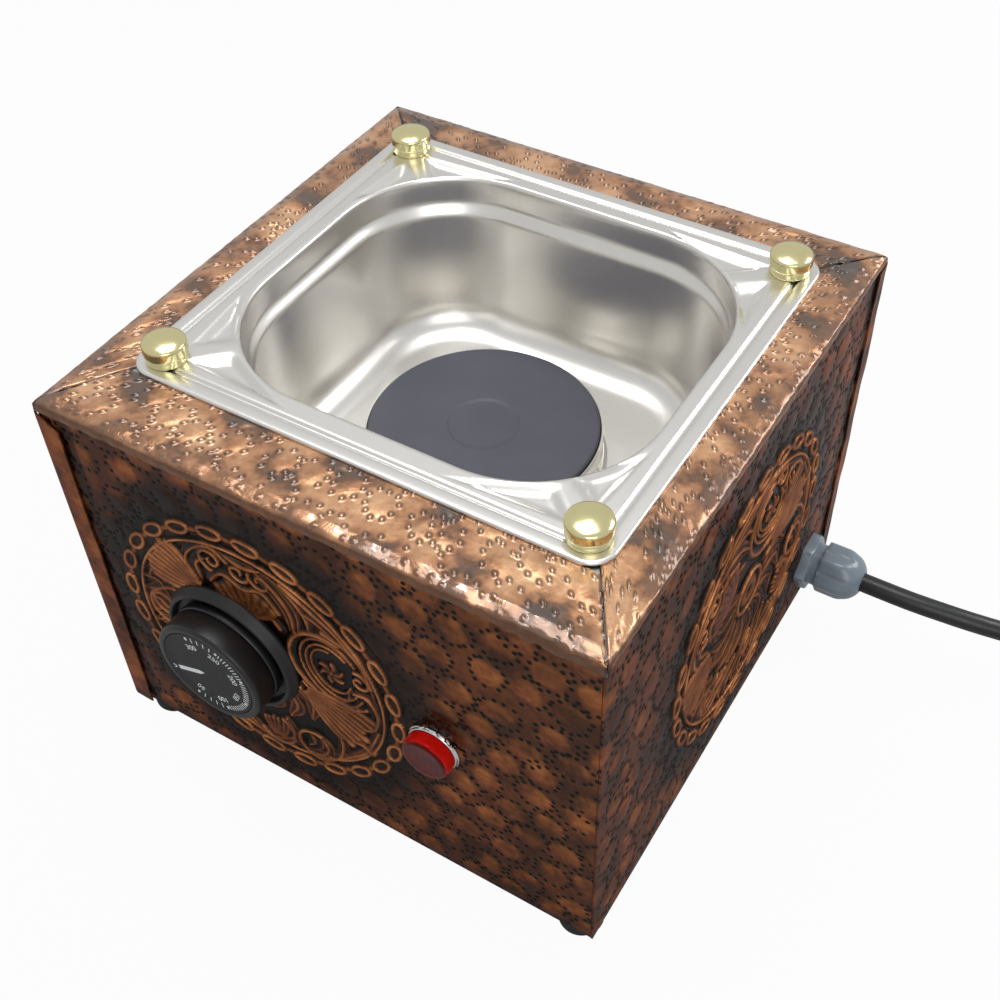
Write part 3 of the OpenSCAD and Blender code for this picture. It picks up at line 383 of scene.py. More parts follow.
# wound heating alloy, oxidised by heat: brown-grey and dull
heatAlloy = makePlain("oxidisedHeatingAlloy", "#6d6a66", 0.6, 0.8, 0.2, 1.111, 0.03)[0]
# pressed and fired steatite: cream, dry and matt
steatite = makePlain("pressedSteatite", "#e6e0d2", 0.6, 0.0, 0.06, 0.6667, 0.03, ior=1.6)[0]
# stamped brass, tin-plated: pale and satin
bladeTin = makePlain("tinPlatedBrass", "#c8c6bd", 0.25, 1.0, 0.06, 1.429, 0.008)[0]
# turned brass left bare: warm yellow, softly bright
bushBrass = makePlain("turnedBrass", "#c9a457", 0.28, 1.0, 0.08, 0.6667, 0.01)[0]
# drawn copper tube: clean salmon, evenly bright
tubeCopper = makePlain("drawnCopperTube", "#b87348", 0.3, 1.0, 0.12, 1.111, 0.01)[0]
# moulded polycarbonate: milky white and slightly glossy
lampBody = makePlain("mouldedPolycarbonate", "#e9e8e4", 0.4, 0.0, 0.05, 0.6667, 0.02, ior=1.58)[0]
# nickel-plated brass: warm white and bright
pinNickel = makePlain("nickelPlatedBrass", "#d2cfc6", 0.18, 1.0, 0.05, 1.667, 0.006)[0]
# extruded silicone, blue: soft and matt
supplySilicone = makePlain("extrudedSiliconeBlue", "#3c5f9a", 0.5, 0.0, 0.1, 0.8333, 0.02, ior=1.41)[0]
# extruded silicone, red: soft and matt
harnessSilicone = makePlain("extrudedSiliconeRed", "#8c3027", 0.5, 0.0, 0.1, 0.8333, 0.02, ior=1.41)[0]
# moulded neoprene: black and dull
sealRubber = makePlain("mouldedNeoprene", "#1d1e20", 0.6, 0.0, 0.15, 0.6667, 0.03, ior=1.52)[0]

# injection-moulded red acrylic: bright red in its band, and painted deep red on its face, where it looks into the
# lamp, as painted shade for the dark lamp seen through it
# a wave's own period is 0.314, so that over the rib in mm gives its scale; the face starts and ends in mm
acrylic = dict(cloud=3.846, rib=2.618, wavePeriod=0.31416, face=(-109.0, -108.2))
lensRed, lensTree, lensShader, lensCoords = startMaterial("tintedAcrylic")
lensNoise = addNode(lensTree, "TexNoise", {"Vector": lensCoords, "Scale": 1 / (acrylic["cloud"] * mm), "Detail": 3.0})
lensBand = addNode(lensTree, "ValToRGB", {0: lensNoise.outputs[0]}, stops=[(0.3, "#c4110c"), (0.7, "#e01c14")])
# painted shade: the lens face is darker than its band
lensShadedFace = addNode(lensTree, "ValToRGB", {0: lensNoise.outputs[0]}, stops=[(0.3, "#480504"), (0.7, "#600807")])
lensPlace = addNode(lensTree, "SeparateXYZ", {0: lensCoords})
lensFace = addNode(lensTree, "MapRange", {0: lensPlace.outputs[1], 1: acrylic["face"][0] * mm,
                                          2: acrylic["face"][1] * mm, 3: 1.0, 4: 0.0})
lensTone = addNode(lensTree, "Mix", {0: lensFace.outputs[0], 6: lensBand.outputs[0], 7: lensShadedFace.outputs[0]},
                   data_type="RGBA")
lensTree.links.new(lensTone.outputs[2], lensShader.inputs["Base Color"])
lensShader.inputs["Roughness"].default_value = 0.08
lensShader.inputs["IOR"].default_value = 1.49
lensShader.inputs["Transmission Weight"].default_value = 0.2
lensShader.inputs["Specular Tint"].default_value = srgb("#b4625c")
lensRings = addNode(lensTree, "TexWave", {"Vector": lensCoords,
                                          "Scale": acrylic["wavePeriod"] / (acrylic["rib"] * mm), "Distortion": 0.4},
                    wave_type="BANDS", bands_direction="X")
lensBump = addNode(lensTree, "Bump", {"Height": lensRings.outputs[1], "Distance": 0.05 * mm, "Strength": 0.35})
lensTree.links.new(lensBump.outputs[0], lensShader.inputs["Normal"])

# blown glass, hazy from its coating: pale pink, in clouds 3.3 mm wide
neonGlass, neonTree, neonShader, neonCoords = startMaterial("blownGlass")
neonNoise = addNode(neonTree, "TexNoise", {"Vector": neonCoords, "Scale": 1 / (3.333 * mm), "Detail": 2.0})
neonTone = addNode(neonTree, "ValToRGB", {0: neonNoise.outputs[0]}, stops=[(0.3, "#c9a79a"), (0.7, "#e8d2c8")])
neonTree.links.new(neonTone.outputs[0], neonShader.inputs["Base Color"])
neonShader.inputs["Roughness"].default_value = 0.1
neonShader.inputs["Transmission Weight"].default_value = 0.6

finishes = dict(inner_case=caseSteel, case_top=caseSteel, base_plate=caseSteel, feet=footRubber,
                foot_screws=zincSteel, foot_nuts=zincSteel, gn_pan=panSteel, rim_washers=washerRubber,
                pan_studs=zincSteel, cap_nuts=capBrass, pan_nuts=zincSteel, hot_plate=plateIron,
                plate_skirt=skirtSteel, heating_rings=heatAlloy, heater_cover=caseSteel, clamp_stud=zincSteel,
                clamp_bridge=caseSteel, clamp_washer=zincSteel, clamp_nut=zincSteel, heater_terminal=steatite,
                heater_blades=bladeTin, knob_bezel=bezelPhenolic, knob=knobPhenolic, dial=dialLacquer,
                shaft_bush=bushBrass, thermostat_shaft=zincSteel, thermostat_screws=zincSteel,
                thermostat_body=steatite, thermostat_blades=bladeTin, capillary_tube=tubeCopper,
                sensor_bulb=tubeCopper, bulb_clip=caseSteel, lamp_ring=lampChrome, lamp_lens=lensRed,
                lamp_body=lampBody, lamp_nut=zincSteel, neon_bulb=neonGlass, lamp_blades=bladeTin,
                gland_body=glandNylon, gland_seal=sealRubber, gland_dome_nut=glandNylon, gland_locknut=glandNylon,
                cord_tail=cordPvc, terminal_block=steatite, terminal_screws=bushBrass, supply_wires=supplySilicone,
                harness_wires=harnessSilicone, power_cord=cordPvc, cord_coil=cordPvc, plug_relief=plugPvc,
                plug_body=plugPvc, plug_pins=pinNickel, copper_front=copperSideFinish, copper_right=copperSideFinish,
                copper_back=copperSideFinish, copper_left=copperSideFinish, top_strip_front=copperTopFinish,
                top_strip_right=copperTopFinish, top_strip_back=copperTopFinish, top_strip_left=copperTopFinish)
for node, finish in finishes.items():
    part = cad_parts[node]
    for i in range(len(part.material_slots)):
        part.material_slots[i].material = finish
print("stage: materials", len(bpy.data.materials))

# the pressed pattern: smooth patches, each in its ring of punch marks
pattern = dict(pitch=15.6, ringRadius=6.9, marks=14, jitter=3.2)


def punchPattern(width, height, spec, seed):
    # centres of the patches and of the punch marks, in mm
    rng = np.random.default_rng(seed)
    pitch = spec["pitch"]
    rows = int(height / (pitch * 0.87)) + 4
    columns = int(width / pitch) + 4
    centres = []
    for j in range(rows):
        for i in range(columns):
            x = (i - columns / 2 + 0.5 * (j % 2)) * pitch + rng.uniform(-1, 1) * spec["jitter"]
            y = (j - rows / 2) * pitch * 0.87 + rng.uniform(-1, 1) * spec["jitter"]
            centres.append((x, y))
    centres = np.array(centres) + [0, height / 2]
    marks = []
    for x, y in centres:
        count = spec["marks"] + int(rng.integers(-1, 2))
        phase = rng.uniform(0, math.tau)
        stretch = 1 + rng.uniform(-0.08, 0.1)
        for k in range(count):
            if rng.random() < 0.06:
                continue
            angle = phase + k * math.tau / count + rng.uniform(-0.06, 0.06)
            radius = spec["ringRadius"] * (1 + rng.uniform(-0.1, 0.1))
            marks.append((x + stretch * radius * math.cos(angle), y + radius * math.sin(angle) / stretch))
    marks = np.array(marks)
    # two marks closer than 1.7 mm were one blow
    kept = []
    for m in marks:
        if not kept or np.min(np.hypot(*(np.array(kept[-200:]) - m).T)) > 1.7:
            kept.append(m)
    return centres, np.array(kept)


def nearest(px, py, points, limit=9.0, cell=10.0):
    # distance in mm from each place to the nearest point
    result = np.full(len(px), limit)
    gx = np.floor(px / cell).astype(int)
    gy = np.floor(py / cell).astype(int)
    order = np.lexsort((gy, gx))
    keys = gx[order] * 100000 + gy[order]
    starts = np.concatenate([[0], np.nonzero(np.diff(keys))[0] + 1, [len(keys)]])
    for a, b in zip(starts, starts[1:]):
        index = order[a:b]
        cx, cy = (gx[index[0]] + 0.5) * cell, (gy[index[0]] + 0.5) * cell
        near = points[(abs(points[:, 0] - cx) < cell / 2 + limit) & (abs(points[:, 1] - cy) < cell / 2 + limit)]
        if len(near):
            d = np.hypot(px[index][:, None] - near[None, :, 0], py[index][:, None] - near[None, :, 1])
            result[index] = np.minimum(limit, d.min(1))
    return result


def waves(px, py, seed, wavelength, count=14):
    # a sheet's hand-made unevenness, between about -1 and 1
    rng = np.random.default_rng(seed)
    total = np.zeros(len(px))
    for _ in range(count):
        angle = rng.uniform(0, math.tau)
        length = wavelength * rng.uniform(0.6, 1.8)
        phase = rng.uniform(0, math.tau)
        total += np.sin((px * math.cos(angle) + py * math.sin(angle)) * math.tau / length + phase)
    return total / math.sqrt(count) / 1.6


def smoothCurve(route, steps):
    # a smooth line through the given points, with so many steps from each to the next
    p = [Vector(q) for q in route]
    p = [p[0] * 2 - p[1]] + p + [p[-1] * 2 - p[-2]]
    result = []
    for a, b, c, d in zip(p, p[1:], p[2:], p[3:]):
        for i in range(steps):
            t = i / steps
            square = (2 * a - 5 * b + 4 * c - d) * t * t
            result.append(0.5 * ((2 * b) + (c - a) * t + square + (3 * b - a - 3 * c + d) * t ** 3))
    return result + [p[-2]]


def curvePoints(points, count):
    steps = max(2, count // (len(points) - 1))
    return np.array([tuple(q) for q in smoothCurve(points, steps)])


def ovalPoints(cx, cy, rx, ry, tilt=0.0, start=0.0, sweep=360.0, count=24):
    result = []
    for i in range(count + 1):
        a = math.radians(start + sweep * i / count)
        x, y = rx * math.cos(a), ry * math.sin(a)
        t = math.radians(tilt)
        result.append((cx + x * math.cos(t) - y * math.sin(t), cy + x * math.sin(t) + y * math.cos(t)))
    return np.array(result)


def spiralPoints(cx, cy, r0, r1, start, sweep, count=26):
    a = np.radians(start + sweep * np.linspace(0, 1, count))
    r = r0 + (r1 - r0) * np.linspace(0, 1, count)
    return np.stack([cx + r * np.cos(a), cy + r * np.sin(a)], 1)


# the medallion's leaves and lines, in mm from its middle
medallion = dict(beadRing=56.4, beads=24, beadLong=4.9, beadWide=2.4, beadLine=1.25, fuller=1.3, border=50.9,
                 reach=62, rim=(59.8, 61.4), shadow=(64, 83))


def line(points, wide0, wide1=None, top=1.0):
    return dict(points=np.array(points, float), wide=(wide0, wide1 or wide0), top=top, ribs=0, lobes=0, belly=False)


def leaf(points, wide, top=0.85, ribs=3, lobes=0, belly=True):
    full = wide * medallion["fuller"]
    return dict(points=curvePoints(points, 18), wide=(full, full), top=top, ribs=ribs, lobes=lobes, belly=belly)


def polar(cx, cy, radius, degrees):
    return (cx + radius * math.cos(math.radians(degrees)), cy + radius * math.sin(math.radians(degrees)))


def flutes(cx, cy, fromAngle, toAngle, count, r0, r1, w0, w1, curl, top, wobble=0.0, seed=1):
    # rays that spread from one place and bend at their ends
    rng = np.random.default_rng(seed)
    result = []
    for i in range(count):
        t = i / max(1, count - 1)
        angle = fromAngle + (toAngle - fromAngle) * t
        length = r1 * (1 - wobble * rng.random())
        bend = curl * (2 * t - 1)
        points = [polar(cx, cy, r0 + (length - r0) * k / 6, angle + bend * (k / 6) ** 2) for k in range(7)]
        result.append(line(points, w0 * 1.1, w1 * 1.35, top))
    return result


def medallionStrokes(spec):
    s = []
    for i in range(spec["beads"]):
        angle = 10.5 + i * 360 / spec["beads"]
        x, y = polar(0, 0, spec["beadRing"], angle)
        s.append(line(ovalPoints(x, y, spec["beadWide"], spec["beadLong"], angle, 0, 360, 18), spec["beadLine"],
                      spec["beadLine"], 1.0))
        s.append(line([polar(x, y, 2.6, angle + 90), polar(x, y, 2.6, angle - 90)], 1.7, 1.7, 0.42))
        s.append(line([polar(0, 0, spec["beadRing"] - 0.4, angle + 6.6),
                       polar(0, 0, spec["beadRing"] - 0.4, angle + 8.4)], 1.5, 1.5, 0.8))
    s.append(line(ovalPoints(0, 0, spec["beadRing"], spec["beadRing"], 0, 0, 360, 90), 4.4, 4.4, 0.32))
    s.append(line(ovalPoints(0, 0, spec["border"], spec["border"], 0, 0, 360, 90), 0.95, 0.95, 1.0))
    s.append(line(ovalPoints(0, 0, 48.2, 48.2, 0, -145, 245, 70), 0.55, 0.55, 0.7))
    # oval cartouche with a flower in it
    s.append(leaf([polar(31.5, 11, 17.4, a) for a in range(75, 330, 24)], 1.5, 1.0, 1, 0, False))
    s.append(line(ovalPoints(31.5, 11, 12.6, 15.8, 8, 52, 268, 36), 0.85, 1.0, 0.9))
    s.append(line(ovalPoints(31.5, 11.3, 10.2, 13.0, 10, 40, 280, 32), 0.8, 0.95, 0.9))
    s.append(line(ovalPoints(31, 11.5, 7.7, 10.2, 10, 75, 250, 26), 0.75, 0.9, 0.8))
    s.append(leaf([(30, 31), (38.5, 28.5), (44.5, 22), (47.3, 12.5)], 2.3, 1.0, 2, 0, False))
    s.append(leaf([(28, 27.5), (36, 25.5), (41.5, 20)], 1.5, 0.9, 1))
    s.append(line(spiralPoints(42.6, 13.2, 4.6, 0.9, 110, -430), 1.25, 0.9, 1.0))
    s.append(leaf([(39, 5), (45, 5.5), (48.3, -2), (46, -11), (40, -14)], 2.7, 1.0, 2, 0))
    s.append(leaf([(17.5, -2), (23.5, -8), (32, -9.2), (39, -5), (41, 1)], 2.3, 1.0, 2, 0))
    s.append(leaf([(24, -1.5), (30, -4.6), (36, -1.5), (37.5, 4)], 1.6, 0.8, 1))
    for k in range(6):
        s.append(leaf([polar(31, 10.5, 1.2, 60 * k), polar(31, 10.5, 3.2, 60 * k + 8),
                       polar(31, 10.5, 5.2, 60 * k + 28)], 1.5, 0.8, 1))
    s.append(line([(31, 10.4), (31, 10.6)], 1.3, 1.3, 0.9))
    # rays that fan out below the cartouche
    s += flutes(15.5, -4.5, 4, -66, 9, 4, 31, 0.75, 1.6, 9, 1.0, 0.2, 3)
    s += flutes(17, -6, -2, -60, 8, 13, 24, 0.4, 0.7, 6, 0.75, 0.1, 4)
    s.append(leaf([(13, -6), (23, -15), (30, -27), (28.5, -40), (20, -50)], 2.2, 1.0, 2, 0, False))
    s.append(leaf([(33, -26), (39, -24.5), (44, -27), (46, -22)], 2.2, 1.0, 2))
    s.append(leaf([(47.5, -12), (44.5, -20), (41, -28), (34, -36), (27, -43)], 2.0, 0.95, 2, 0, False))
    s.append(leaf([(38, -21), (41, -26), (38, -33), (31, -38)], 1.8, 0.85, 2))
    # two curled shells at the bottom
    s.append(line(spiralPoints(17.5, -42, 8.4, 6.4, 70, 265), 1.1, 1.7, 1.0))
    s.append(leaf([(20.5, -34.5), (23, -40), (19.5, -46), (12.5, -47.5)], 3.2, 1.0, 3))
    s.append(leaf([(15, -35), (17, -40), (13.5, -44)], 2.2, 0.85, 2))
    s.append(line(spiralPoints(-1.5, -43.5, 9.6, 7.6, 60, -205), 1.1, 1.7, 1.0))
    s.append(leaf([(5.5, -33.5), (8, -41), (3.5, -47.5), (-5, -51)], 3.0, 1.0, 3))
    s.append(leaf([(-1, -37), (1, -42), (-5, -47)], 3.0, 0.8, 3))
    s += flutes(0, -51, 122, 60, 6, 4, 15, 1.4, 0.8, 8, 0.95, 0.15, 5)
    s.append(leaf([(-7, -52), (-12, -46.5), (-20, -42), (-31, -39)], 3.0, 1.0, 3, 3))
    s.append(leaf([(-10, -42), (-17, -37), (-26, -35)], 2.3, 0.85, 2))
    # acanthus that climbs along the left of the border
    for k in range(7):
        a = 236 - 14.5 * k
        s.append(leaf([polar(0, 0, 49.3, a), polar(0, 0, 43.5, a - 2), polar(0, 0, 38.5, a + 6),
                       polar(0, 0, 33, a + 19)], 2.9, 0.95, 3, 2))
        s.append(leaf([polar(0, 0, 48.5, a - 6), polar(0, 0, 44, a - 9), polar(0, 0, 41, a - 4)], 1.5, 0.8, 1))
    s.append(line(spiralPoints(-41.5, 3, 6.2, 1.4, -60, -480), 1.4, 1.0, 1.0))
    s.append(leaf([(-32, 14), (-39, 12), (-47.5, 4), (-47.5, -5), (-41, -8.5)], 2.7, 1.0, 2, 0))
    # palmette at the upper left
    s += flutes(-19, 21, 200, 112, 9, 4, 25, 0.8, 1.6, 13, 1.0, 0.16, 6)
    s += flutes(-19, 21, 194, 118, 8, 12, 20, 0.4, 0.7, 8, 0.75, 0.1, 7)
    s.append(leaf([(-25, 17), (-34, 16.5), (-42, 20.5), (-46, 14)], 2.2, 1.0, 2))
    s.append(leaf([(-23, 27), (-31, 33), (-38, 31.5), (-43, 23)], 2.2, 1.0, 2))
    # scrolls along the top
    s.append(line(spiralPoints(-12.5, 41.5, 5.6, 1.0, -100, -470), 1.3, 0.9, 1.0))
    s.append(leaf([(-22, 25), (-24.5, 35), (-20, 43), (-12, 48), (-5.5, 44)], 2.2, 1.0, 2, 0, False))
    s.append(leaf([(-19, 28), (-20, 35.5), (-15, 41)], 1.6, 0.85, 1))
    s.append(line(spiralPoints(-1.5, 41.5, 4.6, 1.2, 20, -400), 1.3, 1.0, 1.0))
    s.append(line(spiralPoints(7.5, 42, 4.6, 1.2, 160, 400), 1.2, 0.9, 0.95))
    s.append(leaf([(-6, 47.5), (1, 45.5), (8, 47.5)], 1.9, 1.0, 1))
    # long leaves that sweep down at the upper right
    s.append(leaf([(5, 47), (12, 41.5), (17.5, 33), (18, 22)], 3.6, 0.95, 3, 0))
    s.append(leaf([(11, 47.5), (19, 41.5), (24, 34), (24.5, 27.5)], 2.2, 0.9, 2))
    s.append(leaf([(16, 46), (27, 39), (36, 33), (43.5, 24)], 2.4, 1.0, 2, 0, False))
    s.append(leaf([(21, 36.5), (29, 34), (37, 28.5)], 1.6, 0.8, 1))
    # a leaf mask of acanthus above the middle
    s += flutes(-1, 20, 158, 24, 8, 2, 15, 1.2, 2.0, 14, 0.85, 0.14, 8)
    s.append(leaf([(-15, 30), (-9, 36.5), (-1, 33.5), (7, 36.5), (13, 29.5)], 2.3, 0.9, 2, 4, False))
    s.append(leaf([(-16, 23), (-10, 28), (-2, 25.5), (6, 28), (12, 21)], 1.9, 0.8, 2, 0, False))
    # round boss in the middle, with a whorl about it
    s.append(line(ovalPoints(0, 0, 4.4, 4.4, 0, 0, 360, 24), 2.6, 2.6, 0.9))
    s.append(line(ovalPoints(0, 0, 9.4, 9.4, 0, 0, 360, 30), 1.3, 1.3, 1.0))
    for k in range(11):
        a = 95 + 22 * k
        s.append(leaf([polar(0, 0, 11, a), polar(0, 0, 18, a + 9), polar(0, 0, 25, a + 6), polar(0, 0, 30.5, a - 8)],
                      3.3, 0.85, 3, 2))
    s.append(line(spiralPoints(-24, -27, 6.3, 1.3, 30, 450), 1.4, 0.9, 1.0))
    return s


def strokeField(px, py, strokes):
    # the highest stroke over each place, each with a round section and its own flutes
    field = np.zeros(len(px))
    for stroke in strokes:
        points, (w0, w1) = stroke["points"], stroke["wide"]
        reach = max(w0, w1) * 1.3
        low, high = points.min(0) - reach, points.max(0) + reach
        index = np.nonzero((px > low[0]) & (px < high[0]) & (py > low[1]) & (py < high[1]))[0]
        if not len(index):
            continue
        x, y = px[index], py[index]
        best, side = np.full(len(index), 9.0), np.zeros(len(index))
        last = len(points) - 1
        for i in range(last):
            a, d = points[i], points[i + 1] - points[i]
            t = np.clip(((x - a[0]) * d[0] + (y - a[1]) * d[1]) / max(d @ d, 1e-9), 0, 1)
            offX, offY = x - a[0] - d[0] * t, y - a[1] - d[1] * t
            along = (i + t) / last
            wide = w0 + (w1 - w0) * along
            if stroke["belly"]:
                wide = wide * (0.3 + 0.7 * np.sin(math.pi * np.clip(along, 0.02, 0.98)) ** 0.7)
            if stroke["lobes"]:
                wide = wide * (0.85 + 0.25 * np.abs(np.sin(math.pi * stroke["lobes"] * along)))
            ratio = np.hypot(offX, offY) / wide
            closer = ratio < best
            best = np.where(closer, ratio, best)
            side = np.where(closer, np.sign(offX * d[1] - offY * d[0]), side)
        inside = best < 1
        shape = stroke["top"] * (1 - best[inside] ** 2) ** 0.6
        if stroke["ribs"]:
            shape *= 0.7 + 0.3 * np.cos(math.pi * stroke["ribs"] * best[inside] * side[inside])
        field[index[inside]] = np.maximum(field[index[inside]], shape)
    return field


def smoothStep(x, low, high):
    t = np.clip((x - low) / (high - low), 0, 1)
    return t * t * (3 - 2 * t)


def blurGrid(values, nx, ny, reach):
    # a box blur, twice, over a grid of nx by ny places
    grid = values.reshape(ny, nx)
    box = np.ones(2 * reach + 1) / (2 * reach + 1)
    for _ in range(2):
        for axis in (0, 1):
            grid = np.apply_along_axis(lambda m: np.convolve(np.pad(m, reach, "edge"), box, "valid"), axis, grid)
    return grid.ravel()


# the four embossed side sheets, in mm
sides = dict(width=204.4, height=155.7, step=0.6, sheet=0.8, relief=1.25, low=0.1, highest=1.34)


def panelField(u, v, spec, nx, ny, place, turn, seed, band):
    # everything that is pressed into one sheet: its height in mm and the masks that its finish reads
    cx, cy = place
    du, dv = u - cx, v - cy
    t = math.radians(turn)
    mx, my = du * math.cos(t) + dv * math.sin(t), -du * math.sin(t) + dv * math.cos(t)
    radius = np.hypot(mx, my)
    field = np.zeros(len(u))
    near = radius < medallion["reach"]
    field[near] = strokeField(mx[near], my[near], medallionStrokes(medallion))
    disc = 1 - smoothStep(radius, *medallion["rim"])
    ridge = 0.5 * field + 1.2 * (field - blurGrid(field, nx, ny, 3)) + 0.45 * blurGrid(field, nx, ny, 5)
    # painted shadow: a dark ring round the medallion, wavy at its outer edge
    shadeAndMottle = smoothStep(radius, 58.0, 60.5) * (1 - smoothStep(radius + 3.5 * waves(u, v, seed + 3, 34),
                                                            *medallion["shadow"]))
    # painted shade in a narrow upright band, beside the lap on the front and right sheets and at a corner edge on the
    # others
    shadeAndMottle = np.maximum(shadeAndMottle, 0.9 * (1 - smoothStep(np.abs(u - band[0]), band[1] * 0.4, band[1])))
    # the colour also darkens towards the sheet's bottom edge
    foot = 1 - smoothStep(v + 2.5 * waves(u, v, seed + 5, 24), 0, 9)
    shadeAndMottle = np.maximum(shadeAndMottle, 0.5 * foot)
    centres, marks = punchPattern(spec["width"], spec["height"], pattern, seed)
    patch = nearest(u, v, centres)
    dots = np.where(disc > 0.3, 3.0, nearest(u, v, marks, limit=3.0))
    rim = np.minimum.reduce([u + spec["width"] / 2, spec["width"] / 2 - u, v, spec["height"] - v])
    edge = smoothStep(rim, 0, 6)
    dome = 0.28 * (1 - smoothStep(patch, 1.5, 6.4)) * (1 - disc)
    pits = 0.34 * (1 - smoothStep(dots, 0.25, 1.15)) * edge
    swell = 0.2 * (1 + waves(u, v, seed + 1, 55))
    height = edge * (spec["low"] + swell * (1 - disc)) + dome * edge - pits
    height += disc * spec["relief"] * field * smoothStep(rim, 0, 3)
    return np.minimum(height, spec["highest"]), dict(ridge=ridge, disc=disc, shadeAndMottle=shadeAndMottle, patch=patch, dots=dots)


def layField(bm, fields):
    # writes each named field to the vertices as an attribute that the finishes read
    layers = {key: bm.verts.layers.float.new(key) for key in fields}
    bm.verts.ensure_lookup_table()
    for key, layer in layers.items():
        values = fields[key].tolist()
        for vert, value in zip(bm.verts, values):
            vert[layer] = value


def flatCoords(bm):
    co = np.array([v.co[:] for v in bm.verts])
    return co[:, 0], co[:, 1], co[:, 2]


def makeSheet(name, node, origin, along, up, out, holes, place, turn, seed, band, spec=sides):
    width, height = spec["width"], spec["height"]
    nx, ny = int(width / spec["step"]) + 1, int(height / spec["step"]) + 1
    bm = bmesh.new()
    bmesh.ops.create_grid(bm, x_segments=nx - 1, y_segments=ny - 1, size=0.5)
    bmesh.ops.scale(bm, vec=(width, height, 1), verts=bm.verts)
    bmesh.ops.translate(bm, vec=(0, height / 2, 0), verts=bm.verts)
    u, v, _ = flatCoords(bm)
    order = np.lexsort((u.round(4), v.round(4)))  # rows from the bottom up, for the blur
    heights, masks = panelField(u[order], v[order], spec, nx, ny, place, turn, seed, band)
    back = np.empty(len(order), int)
    back[order] = np.arange(len(order))
    layField(bm, {key: mask[back] for key, mask in {**masks, "raised": heights}.items()})
    raised = bm.verts.layers.float["raised"]
    for cu, cv, r in holes:
        inside = [f for f in bm.faces if math.hypot(f.calc_center_median().x - cu, f.calc_center_median().y - cv) < r]
        bmesh.ops.delete(bm, geom=inside, context="FACES")
        for edge in [e for e in bm.edges if e.is_boundary]:
            for vert in edge.verts:
                d = math.hypot(vert.co.x - cu, vert.co.y - cv)
                if d < r + 3 * spec["step"]:
                    vert.co.x, vert.co.y = cu + (vert.co.x - cu) * r / d, cv + (vert.co.y - cv) * r / d
    for vert in bm.verts:
        vert.co.z = vert[raised]
    # the sheet's cut edges turn back, and its plain inner face closes it
    made = bmesh.ops.extrude_edge_only(bm, edges=[e for e in bm.edges if e.is_boundary])
    for vert in [g for g in made["geom"] if isinstance(g, bmesh.types.BMVert)]:
        vert.co.z = -spec["sheet"]
    bmesh.ops.triangle_fill(bm, use_beauty=False, use_dissolve=False, edges=[e for e in bm.edges if e.is_boundary],
                            normal=(0, 0, -1))
    placed = Matrix([along, up, out]).transposed().to_4x4()
    placed.translation = Vector(origin)
    bmesh.ops.transform(bm, matrix=placed @ Matrix.Scale(mm, 4), verts=bm.verts)
    return finishPiece(bm, name, copperSideFinish, "root", [node])


panelZ = 8 * mm
makeSheet("copperFrontSheet", "copper_front", (0, -0.10205, panelZ), (1, 0, 0), (0, 0, 1), (0, -1, 0),
          [(-37.8, 73.6, 7.0), (43.5, 73.0, 8.15)], (-26.6, 75.0), 0.0, 11, (-92.4, 4.2))
makeSheet("copperRightSheet", "copper_right", (0.103, 0, panelZ), (0, 1, 0), (0, 0, 1), (1, 0, 0),
          [(75.5, 22.7, 8.15)], (6.0, 75.0), 51.0, 23, (92.0, 3.6))
makeSheet("copperBackSheet", "copper_back", (0, 0.10225, panelZ), (-1, 0, 0), (0, 0, 1), (0, 1, 0),
          [], (0.0, 75.0), 20.0, 37, (-103, 3.0))
makeSheet("copperLeftSheet", "copper_left", (-0.103, 0, panelZ), (0, -1, 0), (0, 0, 1), (-1, 0, 0),
          [], (-6.0, 75.0), -30.0, 41, (-103, 3.0))
print("stage: side sheets")

# the left sheet laps round the front edge, and the back sheet round the right edge
laps = dict(step=0.6, sheet=0.6, frontWidth=8.9, rearWidth=7.6)


def makeLap(name, node, corner, along, out, width, height, seed, cut):
    # a narrow flange: it starts at the corner, runs along one face and stands off it a little
    nx, nz = int(width / laps["step"]) + 1, int(height / laps["step"]) + 1
    bm = bmesh.new()
    bmesh.ops.create_grid(bm, x_segments=nx, y_segments=nz, size=0.5)
    bmesh.ops.scale(bm, vec=(width, height, 1), verts=bm.verts)
    bmesh.ops.translate(bm, vec=(width / 2, height / 2, 0), verts=bm.verts)
    u, v, _ = flatCoords(bm)
    fields = dict(patch=np.full(len(u), 3.4), dots=np.full(len(u), 3.0), ridge=np.zeros(len(u)),
                  disc=np.zeros(len(u)))
    # on the laps the same mask holds only a faint random darkening
    fields["shadeAndMottle"] = np.clip(0.05 + 0.15 * waves(u, v, seed, 30), 0, 1)
    layField(bm, fields)
    wave = 0.35 * waves(v, v * 0, seed + 1, 38) + 0.12 * waves(v, v * 0, seed + 2, 9)
    roll = smoothStep(u, 0, 1.3)
    swell = 0.3 * waves(u * 2, v, seed + 4, 26)
    for i, vert in enumerate(bm.verts):
        share = u[i] / width
        x = u[i] + share * wave[i]
        z = v[i] - (cut * share if v[i] > height * 0.5 else 0) * (v[i] / height - 0.5) * 2
        vert.co = (x, z, (0.45 * roll[i] + swell[i] * roll[i] * (1 - 0.4 * share)))
    bmesh.ops.solidify(bm, geom=bm.faces[:], thickness=laps["sheet"])
    bmesh.ops.recalc_face_normals(bm, faces=bm.faces)
    placed = Matrix([along, (0, 0, 1), out]).transposed().to_4x4()
    placed.translation = Vector(corner) * mm
    bmesh.ops.transform(bm, matrix=placed @ Matrix.Scale(mm, 4), verts=bm.verts)
    return finishPiece(bm, name, copperSideFinish, "root", [node], angle=50)


